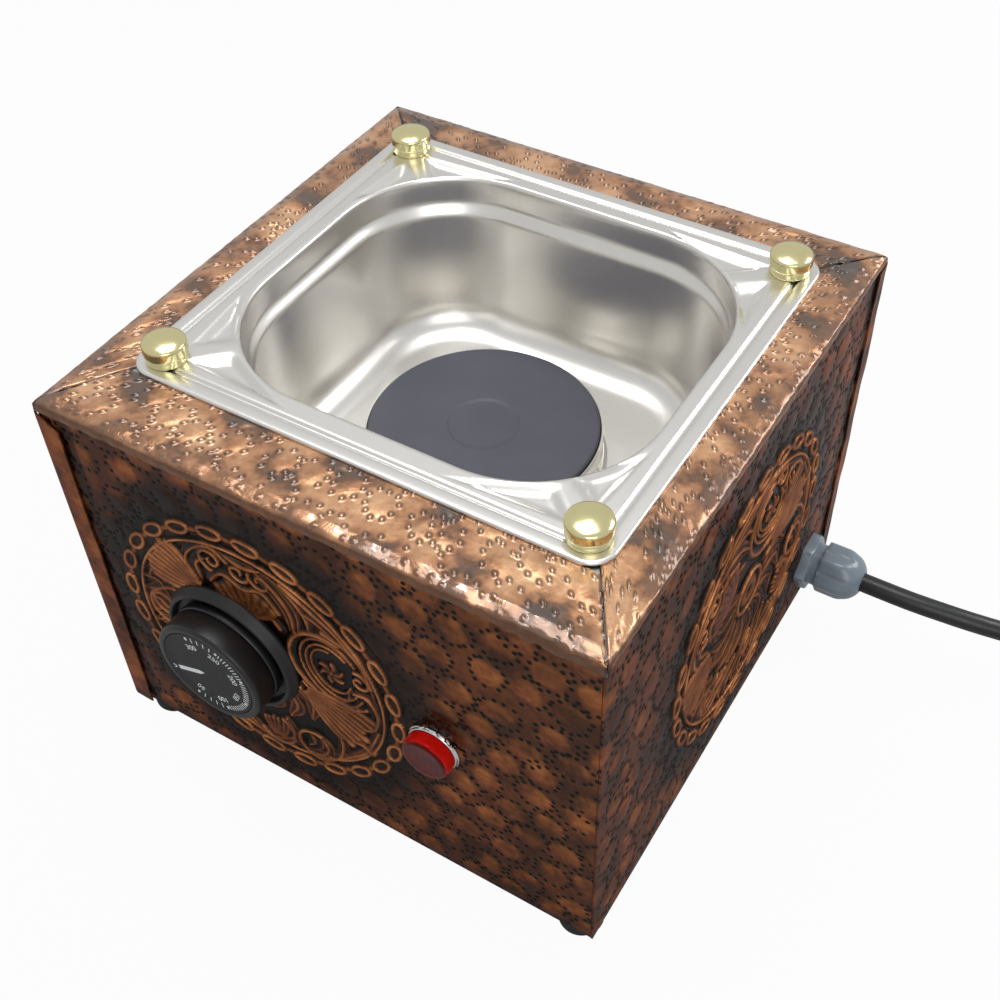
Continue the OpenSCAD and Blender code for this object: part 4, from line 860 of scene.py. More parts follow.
makeLap("copperLeftLap", "copper_left", (-103.9, -103.05, 8.2), (1, 0, 0), (0, -1, 0), laps["frontWidth"], 151.5, 51,
        5.5)
makeLap("copperBackLap", "copper_back", (103.75, 103.2, 8.2), (0, -1, 0), (1, 0, 0), laps["rearWidth"], 153.0, 61,
        1.0)
print("stage: laps")

# the four strips of the top: mitred, domed between their pips, folded down at their outer edge
strips = dict(step=0.55, outer=(103.75, 102.95), inner=(85.0, 78.0), panY=4.7, topZ=164.45, sheet=0.5,
              soft=0.9, pip=0.66, gap=0.12, ring=5.9, pitch=14.6, marks=9)


def softPlus(x, soft):
    return soft * np.log1p(np.exp(np.clip(x / soft, -30, 30)))


def makeStrip(name, node, index, fold, seed, spec=strips):
    signs = [(-1, -1), (1, -1), (1, 1), (-1, 1)]
    outer = [np.array([sx * spec["outer"][0], sy * spec["outer"][1]]) for sx, sy in signs]
    inner = [np.array([sx * spec["inner"][0], spec["panY"] + sy * spec["inner"][1]]) for sx, sy in signs]
    a, b = outer[index], outer[(index + 1) % 4]
    c, d = inner[index], inner[(index + 1) % 4]
    length = np.hypot(*(b - a))
    along = (b - a) / length
    inward = np.array([-along[1], along[0]])
    width = abs((c - a) @ inward)
    nx, ny = int(length / spec["step"]), int((width + fold) / spec["step"])
    bm = bmesh.new()
    bmesh.ops.create_grid(bm, x_segments=nx, y_segments=ny, size=0.5)
    u, v, _ = flatCoords(bm)
    s = (u + 0.5) * length
    p = (v + 0.5) * (width + fold + 1) - fold  # path over the fold: below 0 it runs down the face
    ragged = 1 + 0.12 * waves(s, s * 0, seed, 40) + 0.04 * waves(s, s * 0, seed + 1, 7)
    lumpy = smoothStep(s / length, 0.72, 0.98) if index == 0 else s * 0
    p = np.where(p < 0, p * (ragged + 0.25 * lumpy), p)
    reach = np.minimum(softPlus(p, spec["soft"]), width)  # distance in from the outer plane
    drop = softPlus(-p, spec["soft"])
    t = reach / width
    centres, marks = punchPattern(length + 20, width + 30,
                                  dict(pattern, pitch=spec["pitch"], ringRadius=spec["ring"], marks=spec["marks"],
                                       jitter=4.0), seed + 9)
    flatS, flatP = s - length / 2, p + 12
    patch, dots = nearest(flatS, flatP, centres), nearest(flatS, flatP, marks, limit=4.0)
    quiet = smoothStep(width - p, 1.5, 4.5)
    crease = np.exp(-((p - 5.2) / 0.9) ** 2) * (0.6 + 0.4 * waves(s, s * 0, seed + 2, 30))
    slope = 1 - smoothStep(p, 0, 6)
    pips = spec["pip"] * np.sqrt(np.clip(1 - (dots / 1.05) ** 2, 0, 1)) * (0.55 + 0.45 * smoothStep(p, 4.5, 6.5))
    lift = quiet * (0.28 * (1 - smoothStep(patch, 1.5, 6.2)) + 0.16 * waves(s, p, seed + 3, 30) + 0.25 +
                    0.25 * crease - 0.6 * slope)
    lift += quiet * smoothStep(p, -0.5, 1.0) * pips
    lumps = (0.22 + 0.9 * lumpy) * waves(s, p * 2, seed + 4, 7) * (1 - smoothStep(p, -1, 2.5))
    ends = 1 - smoothStep(np.minimum(s, length - s), 0.1, 1.2)
    rows = []
    for i in range(len(u)):
        left = a + (c - a) * t[i]
        right = b + (d - b) * t[i]
        share = spec["gap"] / length + (1 - 2 * spec["gap"] / length) * (s[i] / length)
        place = left + (right - left) * share
        over = min(1.0, max(0.0, (p[i] + 1.5) / 3))
        normal = -inward * (1 - over)
        flat = lift[i] * over + lumps[i] * over * 0.6
        place = place + normal * max(lumps[i] * 0.8 + 0.1, -0.35) * (1 if p[i] < 0.5 else 0.4)
        rows.append((place[0], place[1], spec["topZ"] - drop[i] + flat - 0.45 * ends[i] * over))
    for vert, row in zip(bm.verts, rows):
        vert.co = Vector(row)
    edge = np.clip(1 - smoothStep(p, 4.0, 5.6) + 0.5 * crease, 0, 1)
    layField(bm, dict(patch=patch, dots=dots, edge=edge, seam=ends, down=1 - smoothStep(p, -1.2, 0.4)))
    bmesh.ops.recalc_face_normals(bm, faces=bm.faces)
    if sum(f.normal.z for f in bm.faces) < 0:
        bmesh.ops.reverse_faces(bm, faces=bm.faces)
    bmesh.ops.solidify(bm, geom=bm.faces[:], thickness=spec["sheet"])
    bmesh.ops.transform(bm, matrix=Matrix.Scale(mm, 4), verts=bm.verts)
    return finishPiece(bm, name, copperTopFinish, "root", [node], angle=60)


makeStrip("topStripFront", "top_strip_front", 0, 4.1, 71)
makeStrip("topStripRight", "top_strip_right", 1, 3.1, 73)
makeStrip("topStripBack", "top_strip_back", 2, 4.2, 79)
makeStrip("topStripLeft", "top_strip_left", 3, 3.8, 83)
print("stage: top strips")

# deep-drawn gastronorm pan: a rolled edge, a groove, corner pockets and a stacking shoulder, in mm
pan = dict(centreY=4.7, rimZ=166.0, sheet=0.8, rim=(88, 81, 9), groove=(80, 73, 3), well=(75.5, 67, 45),
           wellBack=1.2, bottomIn=6.0, floorZ=101.0, fillet=13, plate=(-2.3, -1.5),
           pockets=[[(74.6, 61.0), (77.0, 35.3), (63.4, 52.4)], [(71.2, 69.0), (34.7, 70.9), (59.9, 58.9)]],
           pocketDepth=1.9, arc=36, sideX=52, sideY=44, boltHole=((-2.3, 20.5), 14.0), studs=(78, 71), studHole=2.3)


def roundedLoop(halfX, halfY, radius, z, back=0.0, spec=pan):
    points = []
    for corner, (sx, sy) in enumerate([(1, -1), (1, 1), (-1, 1), (-1, -1)]):
        cx, cy = sx * (halfX - radius), sy * (halfY - radius)
        for i in range(spec["arc"] + 1):
            points.append((*polar(cx, cy, radius, corner * 90 - 90 + 90 * i / spec["arc"]), z))
        nx, ny = [(1, 1), (-1, 1), (-1, -1), (1, -1)][corner]
        ex, ey = points[-1][:2]
        fx, fy = polar(nx * (halfX - radius), ny * (halfY - radius), radius, corner * 90)
        count = spec["sideY"] if corner % 2 == 0 else spec["sideX"]
        for i in range(1, count):
            points.append((ex + (fx - ex) * i / count, ey + (fy - ey) * i / count, z))
    return [(x, y + back, z) for x, y, z in points]


def panLoops(spec):
    loops = []
    hx, hy, r = spec["rim"]
    for d, drop in [(0.25, 1.5), (0, 1.1), (0, 0.8), (0.2, 0.35), (0.6, 0.08), (1.2, 0), (2.4, 0), (3.8, 0.02),
                    (4.6, 0.1), (5.1, 0.4), (5.5, 0.75), (6.0, 0.9), (6.5, 0.75), (6.9, 0.4), (7.4, 0.1), (8, 0)]:
        loops.append(roundedLoop(hx - d, hy - d, max(r - d, 3), spec["rimZ"] - drop))
    gx, gy, gr = spec["groove"]
    wx, wy, wr = spec["well"]
    back = spec["wellBack"]
    for i in range(1, 23):
        t = i / 23
        loops.append(roundedLoop(gx + (wx + 1.6 - gx) * t, gy + (wy + 1.6 - gy) * t, gr + (wr + 1.6 - gr) * t,
                                 spec["rimZ"], back * t))
    # over the mouth, down the stacking wall and over its broad sloped shoulder
    steps = [(1.6, 0.0), (1.0, 0.08), (0.5, 0.35), (0.15, 0.9), (0.0, 1.7), (-0.1, 3.2), (-0.15, 5.0), (-0.2, 7.0),
             (-0.25, 9.0), (-0.35, 10.2), (-0.65, 11.1), (-1.15, 12.0), (-1.75, 12.9), (-2.35, 13.8), (-2.75, 14.7),
             (-2.95, 15.8), (-3.05, 17.2)]
    for d, drop in steps:
        loops.append(roundedLoop(wx + d, wy + d, wr + d, spec["rimZ"] - drop, back))
    high, low = spec["rimZ"] - steps[-1][1], spec["floorZ"] + spec["fillet"]
    first, last = -steps[-1][0], spec["bottomIn"]
    for i in range(1, 15):
        t = i / 14
        d = first + (last - first) * t
        loops.append(roundedLoop(wx - d, wy - d, wr - d, high + (low - high) * t, back))
    f = spec["fillet"]
    for i in range(1, 15):
        a = math.radians(90 * i / 14)
        d = last + f * (1 - math.cos(a))
        loops.append(roundedLoop(wx - d, wy - d, wr - d, spec["floorZ"] + f * (1 - math.sin(a)), back))
    # the floor closes in on the plate's bolt hole
    px, py = spec["plate"]
    for radius in (44.0, 41.0, 36.0, 30.0, 24.0, 17.0, 10.0, 3.3):
        loops.append([(px + (x - px) / math.hypot(x - px, y - py) * radius,
                       py + (y - py) / math.hypot(x - px, y - py) * radius, z)
                      for x, y, z in loops[-1]])
    return loops


def pocketDepth(x, y, spec):
    # how far the rim's corner is pressed down here
    x, y = abs(x), abs(y)
    deepest = 0.0
    for corners in spec["pockets"]:
        cx, cy = sum(c[0] for c in corners) / 3, sum(c[1] for c in corners) / 3
        inside = 9.0
        for (ax, ay), (bx, by) in zip(corners, corners[1:] + corners[:1]):
            length = math.hypot(bx - ax, by - ay)
            n = ((by - ay) / length, -(bx - ax) / length)
            if (cx - ax) * n[0] + (cy - ay) * n[1] < 0:
                n = (-n[0], -n[1])
            inside = min(inside, (x - ax) * n[0] + (y - ay) * n[1])
        t = min(1.0, max(0.0, (inside + 1.2) / 4.2))
        deepest = max(deepest, t * t * (3 - 2 * t))
    return deepest * spec["pocketDepth"]


def makePan(spec):
    bm = bmesh.new()
    loops = [[bm.verts.new((x, y, z - (pocketDepth(x, y, spec) if z > spec["rimZ"] - 0.01 else 0))) for x, y,
              z in loop]
             for loop in panLoops(spec)]
    for first, second in zip(loops, loops[1:]):
        count = len(first)
        for i in range(count):
            j = (i + 1) % count
            bm.faces.new((first[i], first[j], second[j], second[i]))
    studX, studY = spec["studs"]
    studHoles = [((sx * studX, sy * studY), spec["studHole"]) for sx in (-1, 1) for sy in (-1, 1)]
    for hole, radius in [spec["boltHole"]] + studHoles:
        inside = [f for f in bm.faces if math.hypot(f.calc_center_median().x - hole[0],
                  f.calc_center_median().y - hole[1]) < radius and (radius < 5 or f.calc_center_median().z < 102)]
        bmesh.ops.delete(bm, geom=inside, context="FACES")
    bmesh.ops.dissolve_degenerate(bm, edges=bm.edges, dist=1e-5)
    bmesh.ops.recalc_face_normals(bm, faces=bm.faces)
    if sum(f.normal.z * f.calc_area() for f in bm.faces) < 0:
        bmesh.ops.reverse_faces(bm, faces=bm.faces)
    bmesh.ops.solidify(bm, geom=bm.faces[:], thickness=spec["sheet"])
    bmesh.ops.translate(bm, vec=(0, spec["centreY"], 0), verts=bm.verts)
    bmesh.ops.transform(bm, matrix=Matrix.Scale(mm, 4), verts=bm.verts)
    return finishPiece(bm, "gastronormPan", panSteel, "root", ["gn_pan"], angle=50)


makePan(pan)
print("stage: pan")

# brass cap nuts on the pan's rim: domed, with a thin rim and a plain band, in mm
caps = dict(places=[(-78, -66.3, 166), (78, -66.3, 166), (78, 75.7, 166), (-78, 75.7, 166)],
            profile=[(0, 8.5), (1.5, 8.45), (3, 8.28), (4.4, 8.0), (5.5, 7.68), (6.3, 7.36), (6.85, 7.05),
                     (7.2, 6.75), (7.38, 6.4), (7.44, 6.0), (7.46, 5.4), (7.46, 4.2), (7.46, 3.2), (7.4, 2.95),
                     (7.22, 2.85), (7.15, 2.65), (7.15, 1.6), (7.13, 0.6), (7.02, 0.15), (6.8, 0.0), (2.1, 0.0)])
bm = spinProfile(caps["profile"], 96)
repeatMesh(bm, caps["places"])
finishPiece(bm, "brassCapNuts", capBrass, "root", ["cap_nuts"], angle=55)

# cast-iron plate and the bright skirt that carries it, in mm
plate = dict(centre=(-2.3, 3.2, 0),
             face=[(0, 115.05), (6, 115.05), (11.4, 115.05), (12.3, 115.07), (12.7, 115.16), (13.0, 115.34),
                   (13.3, 115.45), (13.8, 115.5), (20, 115.5), (28, 115.5), (36, 115.5), (40.4, 115.49),
                   (41.2, 115.42), (41.7, 115.2), (41.95, 114.8), (42, 114.2), (42, 110), (42, 107.2), (41.7, 106.7),
                   (41.2, 106.5), (38, 106.5), (38, 108), (3.3, 108)],
             skirt=[(42.15, 106.7), (42.15, 110), (42.15, 113.2), (42.2, 113.7), (42.4, 114.05), (42.65, 114.15),
                    (42.9, 114.05), (43.1, 113.7), (43.1, 112), (43.1, 108), (43.1, 104), (43.15, 102.8),
                    (43.5, 102.2), (44.1, 101.9), (44.9, 101.8), (45.1, 101.5), (45.05, 101.1), (44.7, 101.0),
                    (42.15, 101.0), (42.15, 105.2)])
bm = spinProfile(plate["face"], 144)
repeatMesh(bm, [plate["centre"]])
finishPiece(bm, "castIronPlate", plateIron, "root", ["hot_plate"], angle=50)
bm = spinProfile(plate["skirt"], 144)
repeatMesh(bm, [plate["centre"]])
finishPiece(bm, "plateSkirtRing", skirtSteel, "root", ["plate_skirt"], angle=50)
print("stage: caps and plate")

# black bezel, knob and printed dial of the thermostat, in mm out of the front panel
knobSet = dict(place=(-37.8, -102.25, 81.6), turns=45.7, zero=-160.0,
               bezel=[(13.5, 0), (27.0, 0), (27.25, 0.3), (27.25, 1.4), (27.0, 1.9), (26.3, 3.2), (25.9, 4.2),
                      (25.55, 4.75), (25.1, 5.0), (24.6, 4.95), (24.25, 4.7), (24.05, 4.2), (23.8, 2.6), (23.5, 2.2),
                      (13.5, 2.2)],
               knob=[(19.4, 3.3), (21.0, 3.3), (21.45, 3.55), (21.6, 4.0), (21.6, 5.9), (21.5, 6.15), (21.3, 6.35),
                     (21.3, 6.7), (21.45, 6.95), (21.55, 7.3), (21.5, 11), (21.45, 14.2), (21.3, 14.8), (20.9, 15.3),
                     (20.3, 15.5), (19.3, 15.5), (18.85, 15.42), (18.65, 15.2), (18.6, 14.9), (0.01, 14.9)],
               dial=[(18.5, 14.92), (18.5, 15.2), (18.35, 15.38), (18.0, 15.4), (17.6, 15.38), (17.4, 15.32),
                     (12, 15.3), (6, 15.3), (0, 15.3)])
for name, profile, finish, body, slot, node in [
        ("knobBezelRing", knobSet["bezel"], bezelPhenolic, "root", "knob_plastic", "knob_bezel"),
        ("thermostatKnob", knobSet["knob"], knobPhenolic, "thermostat_control", "knob_plastic", "knob"),
        ("dialFace", knobSet["dial"], dialLacquer, "thermostat_control", "dial_print", "dial")]:
    bm = spinProfile(profile, 128, "front")
    repeatMesh(bm, [knobSet["place"]])
    finishPiece(bm, name, finish, body, [node], angle=45)


def addBar(bm, radius, angle, length, wide, z, point=0.0, thick=0.05):
    # one printed bar on the dial, along a radius, with a pointed inner end if asked
    outline = [(radius - length / 2 - point, 0), (radius - length / 2, -wide / 2), (radius + length / 2, -wide / 2),
               (radius + length / 2, wide / 2), (radius - length / 2, wide / 2)]
    outline = outline if point else outline[1:]
    turnBar = Matrix.Rotation(math.radians(angle), 3, "Z")
    low = [bm.verts.new(turnBar @ Vector((x, y, z))) for x, y in outline]
    high = [bm.verts.new(turnBar @ Vector((x, y, z + thick))) for x, y in outline]
    bm.faces.new(low[::-1])
    bm.faces.new(high)
    for i in range(len(outline)):
        j = (i + 1) % len(outline)
        bm.faces.new((low[i], low[j], high[j], high[i]))


def addNumber(bm, text, radius, angle, size, z):
    # printed digits, their tops towards the dial's edge
    curve = bpy.data.curves.new("digits", "FONT")
    curve.body = text
    curve.size = size
    curve.extrude = 0.03
    curve.align_x, curve.align_y = "CENTER", "CENTER"
    digits = bpy.data.objects.new("digits", curve)
    made = bpy.data.meshes.new_from_object(digits)
    upright = Matrix.Rotation(math.radians(-90), 4, "Z")
    turned = Matrix.Rotation(math.radians(angle), 4, "Z") @ Matrix.Translation((radius, 0, z + 0.02)) @ upright
    made.transform(turned)
    bm.from_mesh(made)
    bpy.data.objects.remove(digits)
    bpy.data.curves.remove(curve)
    bpy.data.meshes.remove(made)


# the scale: 0 to 300, counter-clockwise, ticks closer together in the cooking range
dialPrint = dict(z=15.3, numberRadius=12.2, numberSize=3.3, tickRadius=16.1, tick=2.2, tickWide=0.34)
bm = bmesh.new()
for i, number in enumerate(["50", "100", "150", "200", "250", "300"]):
    angle = knobSet["zero"] + knobSet["turns"] * (i + 1) - 2
    addNumber(bm, number, dialPrint["numberRadius"], angle, dialPrint["numberSize"], dialPrint["z"])
    addBar(bm, dialPrint["tickRadius"] + 0.3, angle, 1.3, 0.95, dialPrint["z"])
    last = i == 5
    ticks = 9 if i in (1, 2, 3) else 4
    for k in range(1, 0 if last else ticks + 1):
        offset = knobSet["turns"] * k / (ticks + 1)
        addBar(bm, dialPrint["tickRadius"], angle + offset, dialPrint["tick"], dialPrint["tickWide"], dialPrint["z"])
addNumber(bm, "0", 17.0, knobSet["zero"], 3.6, dialPrint["z"])
addBar(bm, 9.3, knobSet["zero"], 10.6, 1.9, dialPrint["z"], 2.3)
bmesh.ops.scale(bm, vec=(mm, mm, mm), verts=bm.verts)
turnMesh(bm, "front")
repeatMesh(bm, [knobSet["place"]])
bmesh.ops.recalc_face_normals(bm, faces=bm.faces)
finishPiece(bm, "dialScalePrint", printInk, "thermostat_control", ["dial"], smooth=False)
print("stage: thermostat")

# pilot lamp: a stepped chrome ring and a fluted red lens, in mm out of the front panel
lamp = dict(place=(43.5, -102.25, 81.0), flutes=40, fluteDepth=0.12,
            ring=[(8.05, 0.05), (9.4, 0.05), (9.7, 0.2), (9.75, 0.5), (9.7, 0.8), (9.45, 1.0), (9.35, 1.1),
                  (9.3, 1.45), (9.15, 1.7), (8.9, 1.8), (8.05, 1.8), (8.05, 0.05)],
            lens=[(7.3, 1.8), (8.6, 1.8), (8.85, 2.0), (8.9, 2.4), (8.9, 4.5), (8.85, 5.4), (8.65, 6.2), (8.25, 6.75),
                  (7.7, 6.98), (6.8, 7.0), (6.4, 6.94), (3, 6.9), (0, 6.9), (0, 5.8), (7.1, 5.8), (7.3, 5.4),
                  (7.3, 1.8)])
bm = spinProfile(lamp["ring"], 96, "front")
repeatMesh(bm, [lamp["place"]])
finishPiece(bm, "lampChromeRing", lampChrome, "root", ["lamp_ring"], angle=40)
bm = spinProfile(lamp["lens"], 160)
for vert in bm.verts:
    r = math.hypot(vert.co.x, vert.co.y)
    if r > 8.5 * mm and 2.1 * mm < vert.co.z < 6.0 * mm:
        wave = 1 - lamp["fluteDepth"] * mm / r * (0.5 +
                                                  0.5 * math.cos(lamp["flutes"] * math.atan2(vert.co.y, vert.co.x)))
        vert.co.x, vert.co.y = vert.co.x * wave, vert.co.y * wave
turnMesh(bm, "front")
repeatMesh(bm, [lamp["place"]])
finishPiece(bm, "lampRedLens", lensRed, "root", ["lamp_lens"], angle=40)

# slivers torn up from the sheet when the lamp's hole was cut, in mm
burrs = dict(count=10, inner=9.9, reach=(1.4, 3.2), wide=0.36, thick=0.12, seed=5)
rng = np.random.default_rng(burrs["seed"])
bm = bmesh.new()
for k in range(burrs["count"]):
    angle = 38 + 104 * k / (burrs["count"] - 1) + rng.uniform(-6, 6)
    reach, curl = rng.uniform(*burrs["reach"]), rng.uniform(-34, 34)
    pairs = []
    for i in range(7):
        t = i / 6
        x, y = polar(0, 0, burrs["inner"] + reach * t, angle + curl * t * t)
        ax, ay = polar(0, 0, burrs["wide"] * (1 - 0.7 * t), angle + 90)
        lift = 0.4 + 1.5 * math.sin(0.8 * math.pi * t)
        pairs.append((bm.verts.new((x - ax, y - ay, lift)), bm.verts.new((x + ax, y + ay, lift + 0.1))))
    for (a, b), (c, d) in zip(pairs, pairs[1:]):
        bm.faces.new((a, b, d, c))
bmesh.ops.recalc_face_normals(bm, faces=bm.faces)
bmesh.ops.solidify(bm, geom=bm.faces[:], thickness=burrs["thick"])
layField(bm, dict(dots=np.full(len(bm.verts), 3.0), patch=np.full(len(bm.verts), 2.0)))
bmesh.ops.scale(bm, vec=(mm, mm, mm), verts=bm.verts)
turnMesh(bm, "front")
repeatMesh(bm, [lamp["place"]])
finishPiece(bm, "lampHoleSlivers", copperSideFinish, "root", ["copper_front"], angle=50)
print("stage: lamp")

# cable gland: chamfered hexagon, short neck, fluted dome nut with a glossy rounded front, in mm out of the side
gland = dict(place=(103.0, 75.5, 30.7), flats=21.0, domeFlats=19.6, steps=144,
             body=[(0.0, 0.97, 1), (0.35, 1.0, 1), (3.9, 1.0, 1), (4.35, 0.985, 0.75), (4.5, 0.96, 0.4),
                   (4.5, 0.8, 0), (7.9, 0.8, 0)],
             dome=[(7.9, 0.8, 0, 0), (7.9, 0.94, 0.4, 0), (8.15, 0.985, 0.9, 0.3), (8.6, 1.0, 1, 1), (10, 1.0, 1, 1),
                   (13, 1.0, 1, 1), (16.6, 0.998, 1, 1), (18.0, 0.985, 0.85, 0.9), (19.0, 0.965, 0.5, 0.5),
                   (20.0, 0.935, 0.2, 0.2), (21.2, 0.885, 0, 0), (22.3, 0.815, 0, 0), (23.3, 0.72, 0, 0),
                   (24.1, 0.62, 0, 0), (24.6, 0.54, 0, 0), (24.9, 0.48, 0, 0), (25.0, 0.43, 0, 0),
                   (24.8, 0.405, 0, 0), (23.5, 0.4, 0, 0), (22.9, 0.4, 0, 0)])


def hexRadius(angle, flats, hexShare, round_=0.985):
    # a hexagon's reach in this direction, blended with a circle and with its corners broken
    inside = flats / 2
    turned = (angle + math.pi / 6) % (math.pi / 3) - math.pi / 6
    corner = min(inside / math.cos(turned), inside / math.cos(math.pi / 6) * round_)
    return inside * 1.03 * (1 - hexShare) + corner * hexShare


def loftTurned(rings, steps):
    # rings of (height, radius function) closed into a tube; the ends meet where the first and last ring touch
    bm = bmesh.new()
    loops = []
    for h, reach in rings:
        loops.append([bm.verts.new((*[c * mm for c in polar(0, 0, reach(math.tau * i / steps), 360 * i / steps)],
                                    h * mm)) for i in range(steps)])
    for first, second in zip(loops, loops[1:] + loops[:1]):
        for i in range(steps):
            j = (i + 1) % steps
            bm.faces.new((first[i], first[j], second[j], second[i]))
    bmesh.ops.recalc_face_normals(bm, faces=bm.faces)
    return bm


rings = [(h, lambda a, s=s, w=w: s * hexRadius(a, gland["flats"], w)) for h, s, w in gland["body"]]
rings += [(7.9, lambda a: 5.0), (0.0, lambda a: 5.0)]
bm = loftTurned(rings, gland["steps"])
turnMesh(bm, "right")
repeatMesh(bm, [gland["place"]])
finishPiece(bm, "glandBody", glandNylon, "root", ["gland_body"], angle=35)
rings = []
for h, s, w, f in gland["dome"]:
    rings.append((h, lambda a, s=s, w=w, f=f: s * hexRadius(a, gland["domeFlats"], w) - f * 0.34 * max(0.0,
            math.cos(12 * a)) ** 2))
rings += [(9.0, lambda a: 4.05), (8.2, lambda a: 7.0)]
bm = loftTurned(rings, gland["steps"])
turnMesh(bm, "right")
repeatMesh(bm, [gland["place"]])
glandNut = finishPiece(bm, "glandDomeNut", glandNylon, "root", ["gland_dome_nut"], angle=40)
print("stage: gland")

# rubber feet with a recess for their screw, in mm
feet = dict(places=[(sx * 93.5, sy * 92.73, 0) for sx in (-1, 1) for sy in (-1, 1)],
            profile=[(4.3, 4.0), (4.3, 0.5), (4.6, 0.05), (5.2, 0), (7.2, 0), (7.9, 0.15), (8.2, 0.7), (8.3, 1.6),
                     (8.4, 4.2), (8.5, 6.6), (8.5, 7.6), (8.35, 8.0), (2.3, 8.0), (2.3, 4.0), (4.3, 4.0)])
bm = spinProfile(feet["profile"], 64)
repeatMesh(bm, feet["places"])
finishPiece(bm, "rubberFeet", footRubber, "root", ["feet"], angle=50)

# moulded round plug: ribbed strain relief, grip flutes and two pins, in mm along -Y
plug = dict(place=(311.5, -30.0, 18.0), flutes=24,
            relief=[(0, 0), (3.95, 0), (4.4, 0.3), (4.7, 0.9)],
            body=[(0, 30.2), (9.4, 30.2), (10.2, 30.5), (11.4, 31.8), (13.4, 33.6), (14.8, 35.0), (16.0, 37.6),
                  (17.2, 40.2), (17.85, 42.0), (18, 43.2), (18, 45), (17.95, 48), (17.9, 52), (17.9, 56), (18, 60),
                  (18, 62.6), (17.8, 63.4), (17.2, 63.9), (16.4, 64), (0, 64)],
            pin=[(0, 0), (2.4, 0), (2.4, 9), (2.4, 16.4), (2.3, 17.4), (2.0, 18.3), (1.5, 18.85), (1.0, 19), (0, 19)])
relief = list(plug["relief"])
for k in range(9):
    h, r = 1.4 + k * 3.1, 4.75 + k * 0.165
    relief += [(r, h), (r, h + 1.7), (r - 0.15, h + 1.95), (r - 0.75, h + 2.1), (r - 0.75, h + 2.7),
               (r - 0.1, h + 2.95)]
relief += [(6.2, 29.4), (6.3, 30), (0, 30)]
bm = spinProfile(relief, 64, "plug")
repeatMesh(bm, [plug["place"]])
reliefPiece = finishPiece(bm, "plugStrainRelief", plugPvc, "root", ["plug_relief"], angle=40)
bm = spinProfile(plug["body"], 144)
for vert in bm.verts:
    if 44 * mm < vert.co.z < 61 * mm:
        r = math.hypot(vert.co.x, vert.co.y)
        if r > 17 * mm:
            wave = 1 - 0.45 * mm / r * max(0.0, math.cos(plug["flutes"] * math.atan2(vert.co.y, vert.co.x))) ** 2
            vert.co.x, vert.co.y = vert.co.x * wave, vert.co.y * wave
turnMesh(bm, "plug")
repeatMesh(bm, [plug["place"]])
plugPiece = finishPiece(bm, "plugBody", plugPvc, "root", ["plug_body"], angle=40)
bm = spinProfile(plug["pin"], 48, "plug")
x, y, z = plug["place"]
repeatMesh(bm, [(x - 9.5, y - 64, z), (x + 9.5, y - 64, z)])
pinPiece = finishPiece(bm, "plugPins", pinNickel, "root", ["plug_pins"], angle=40)
print("stage: feet and plug")

# the cord itself: a smooth round line along its route
def makeCord(name, fine, spec):
    curve = bpy.data.curves.new(name, "CURVE")
    curve.dimensions = "3D"
    curve.bevel_depth = spec["diameter"] / 2 * mm
    curve.bevel_resolution = 4
    curve.use_fill_caps = True
    line = curve.splines.new("POLY")
    line.points.add(len(fine) - 1)
    for point, place in zip(line.points, fine):
        point.co = (*(c * mm for c in place), 1)
    curve.materials.append(cordPvc)
    piece = bpy.data.objects.new(name, curve)
    bpy.context.scene.collection.objects.link(piece)
    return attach(piece, "root")


cordLine = smoothCurve(cordPath, 2)
cordPiece = makeCord("mainsCord", cordLine, cord)
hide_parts("power_cord", "cord_coil")

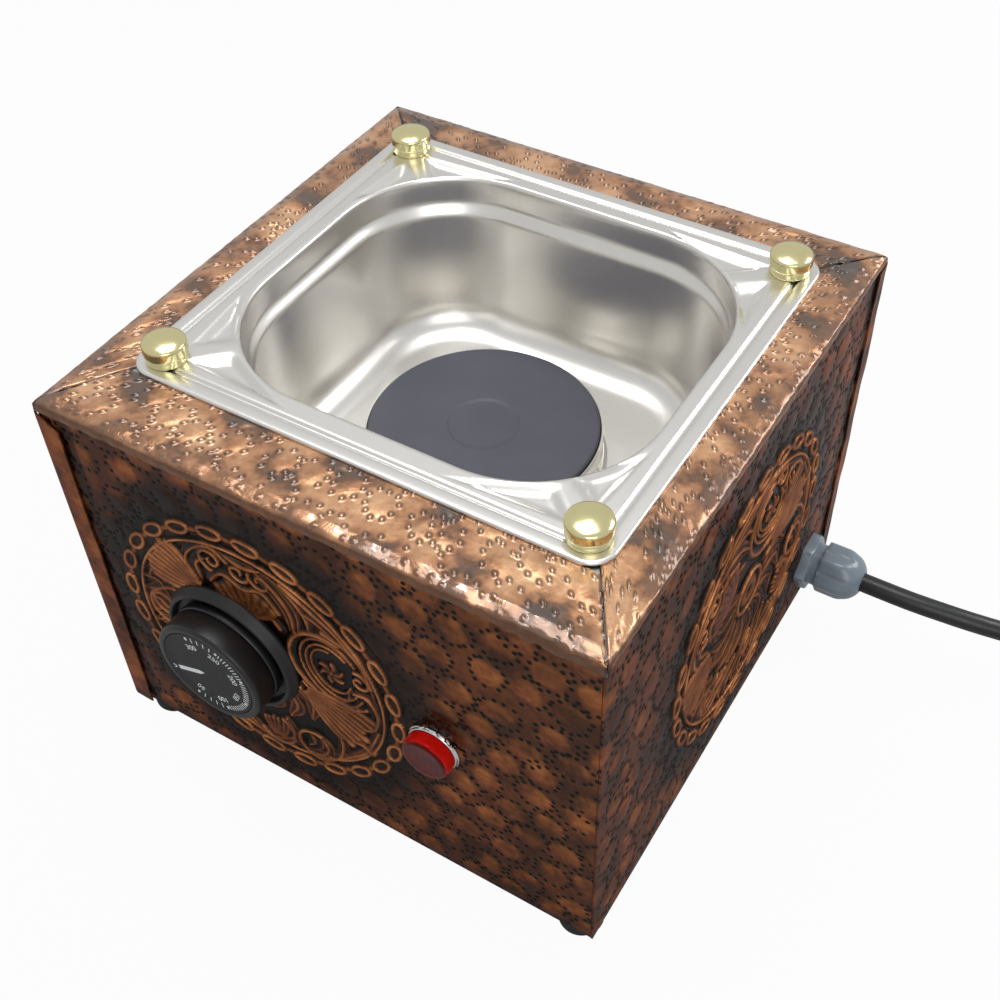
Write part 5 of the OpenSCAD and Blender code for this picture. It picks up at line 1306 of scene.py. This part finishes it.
# stage and light
light = dict(world=0.66, key=9.0, fill=3.5, glint=1.1, rear=1.6)
ground = dict(half=6, drop=0.0002, grey=0.45, white=0.96)  # a grey floor that the camera sees white
floorMesh = bpy.data.meshes.new("floor")
bm = bmesh.new()
bmesh.ops.create_grid(bm, x_segments=1, y_segments=1, size=ground["half"])
bmesh.ops.translate(bm, vec=(0, 0, -ground["drop"]), verts=bm.verts)
bm.to_mesh(floorMesh)
bm.free()
floor = bpy.data.objects.new("floor", floorMesh)
bpy.context.scene.collection.objects.link(floor)
floorPaint = bpy.data.materials.new("matteFloor")
floorPaint.use_nodes = True
tree = floorPaint.node_tree
tree.nodes.clear()
seen = addNode(tree, "LightPath").outputs["Is Camera Ray"]
share = addNode(tree, "Math", {0: seen, 1: ground["white"]}, operation="MULTIPLY")
plain = addNode(tree, "BsdfDiffuse", {"Color": (ground["grey"],) * 3 + (1,)})
white = addNode(tree, "Emission", {"Color": (1, 1, 1, 1), "Strength": 1.0})
mixed = addNode(tree, "MixShader", {0: share.outputs[0], 1: plain.outputs[0], 2: white.outputs[0]})
addNode(tree, "OutputMaterial", {0: mixed.outputs[0]})
floorMesh.materials.append(floorPaint)

world = bpy.data.worlds.new("studio")
bpy.context.scene.world = world
world.use_nodes = True
tree = world.node_tree
tree.nodes.clear()
path = addNode(tree, "LightPath")
direct = addNode(tree, "Math", {0: path.outputs["Is Camera Ray"], 1: path.outputs["Is Transmission Ray"]},
                 operation="MAXIMUM")
strength = addNode(tree, "MapRange", {0: direct.outputs[0], 1: 0.0, 2: 1.0, 3: light["world"], 4: 1.0})
sky = addNode(tree, "Background", {"Color": (1, 1, 1, 1), "Strength": strength.outputs[0]})
addNode(tree, "OutputWorld", {0: sky.outputs[0]})


def makeLamp(name, power, place, target, size):
    data = bpy.data.lights.new(name, "AREA")
    data.energy = power
    data.shape = "RECTANGLE"
    data.size, data.size_y = size
    lamp = bpy.data.objects.new(name, data)
    lamp.location = place
    lamp.rotation_euler = (Vector(target) - Vector(place)).to_track_quat("-Z", "Y").to_euler()
    bpy.context.scene.collection.objects.link(lamp)
    return lamp


makeLamp("keyLamp", light["key"], (-0.15, 0.1, 1.5), (0, 0, 0.1), (0.8, 0.8))
makeLamp("glintLamp", light["glint"], (-0.45, 0.2, 1.4), (0, 0, 0.1), (0.12, 0.12))
makeLamp("rearLamp", light["rear"], (0.45, 0.45, 0.5), (0.2, 0.28, 0), (0.3, 0.3))
makeLamp("fillLamp", light["fill"], (0.7, -0.9, 0.8), (0, 0, 0.08), (0.8, 0.8))

scene = bpy.context.scene
scene.view_settings.view_transform = "Standard"
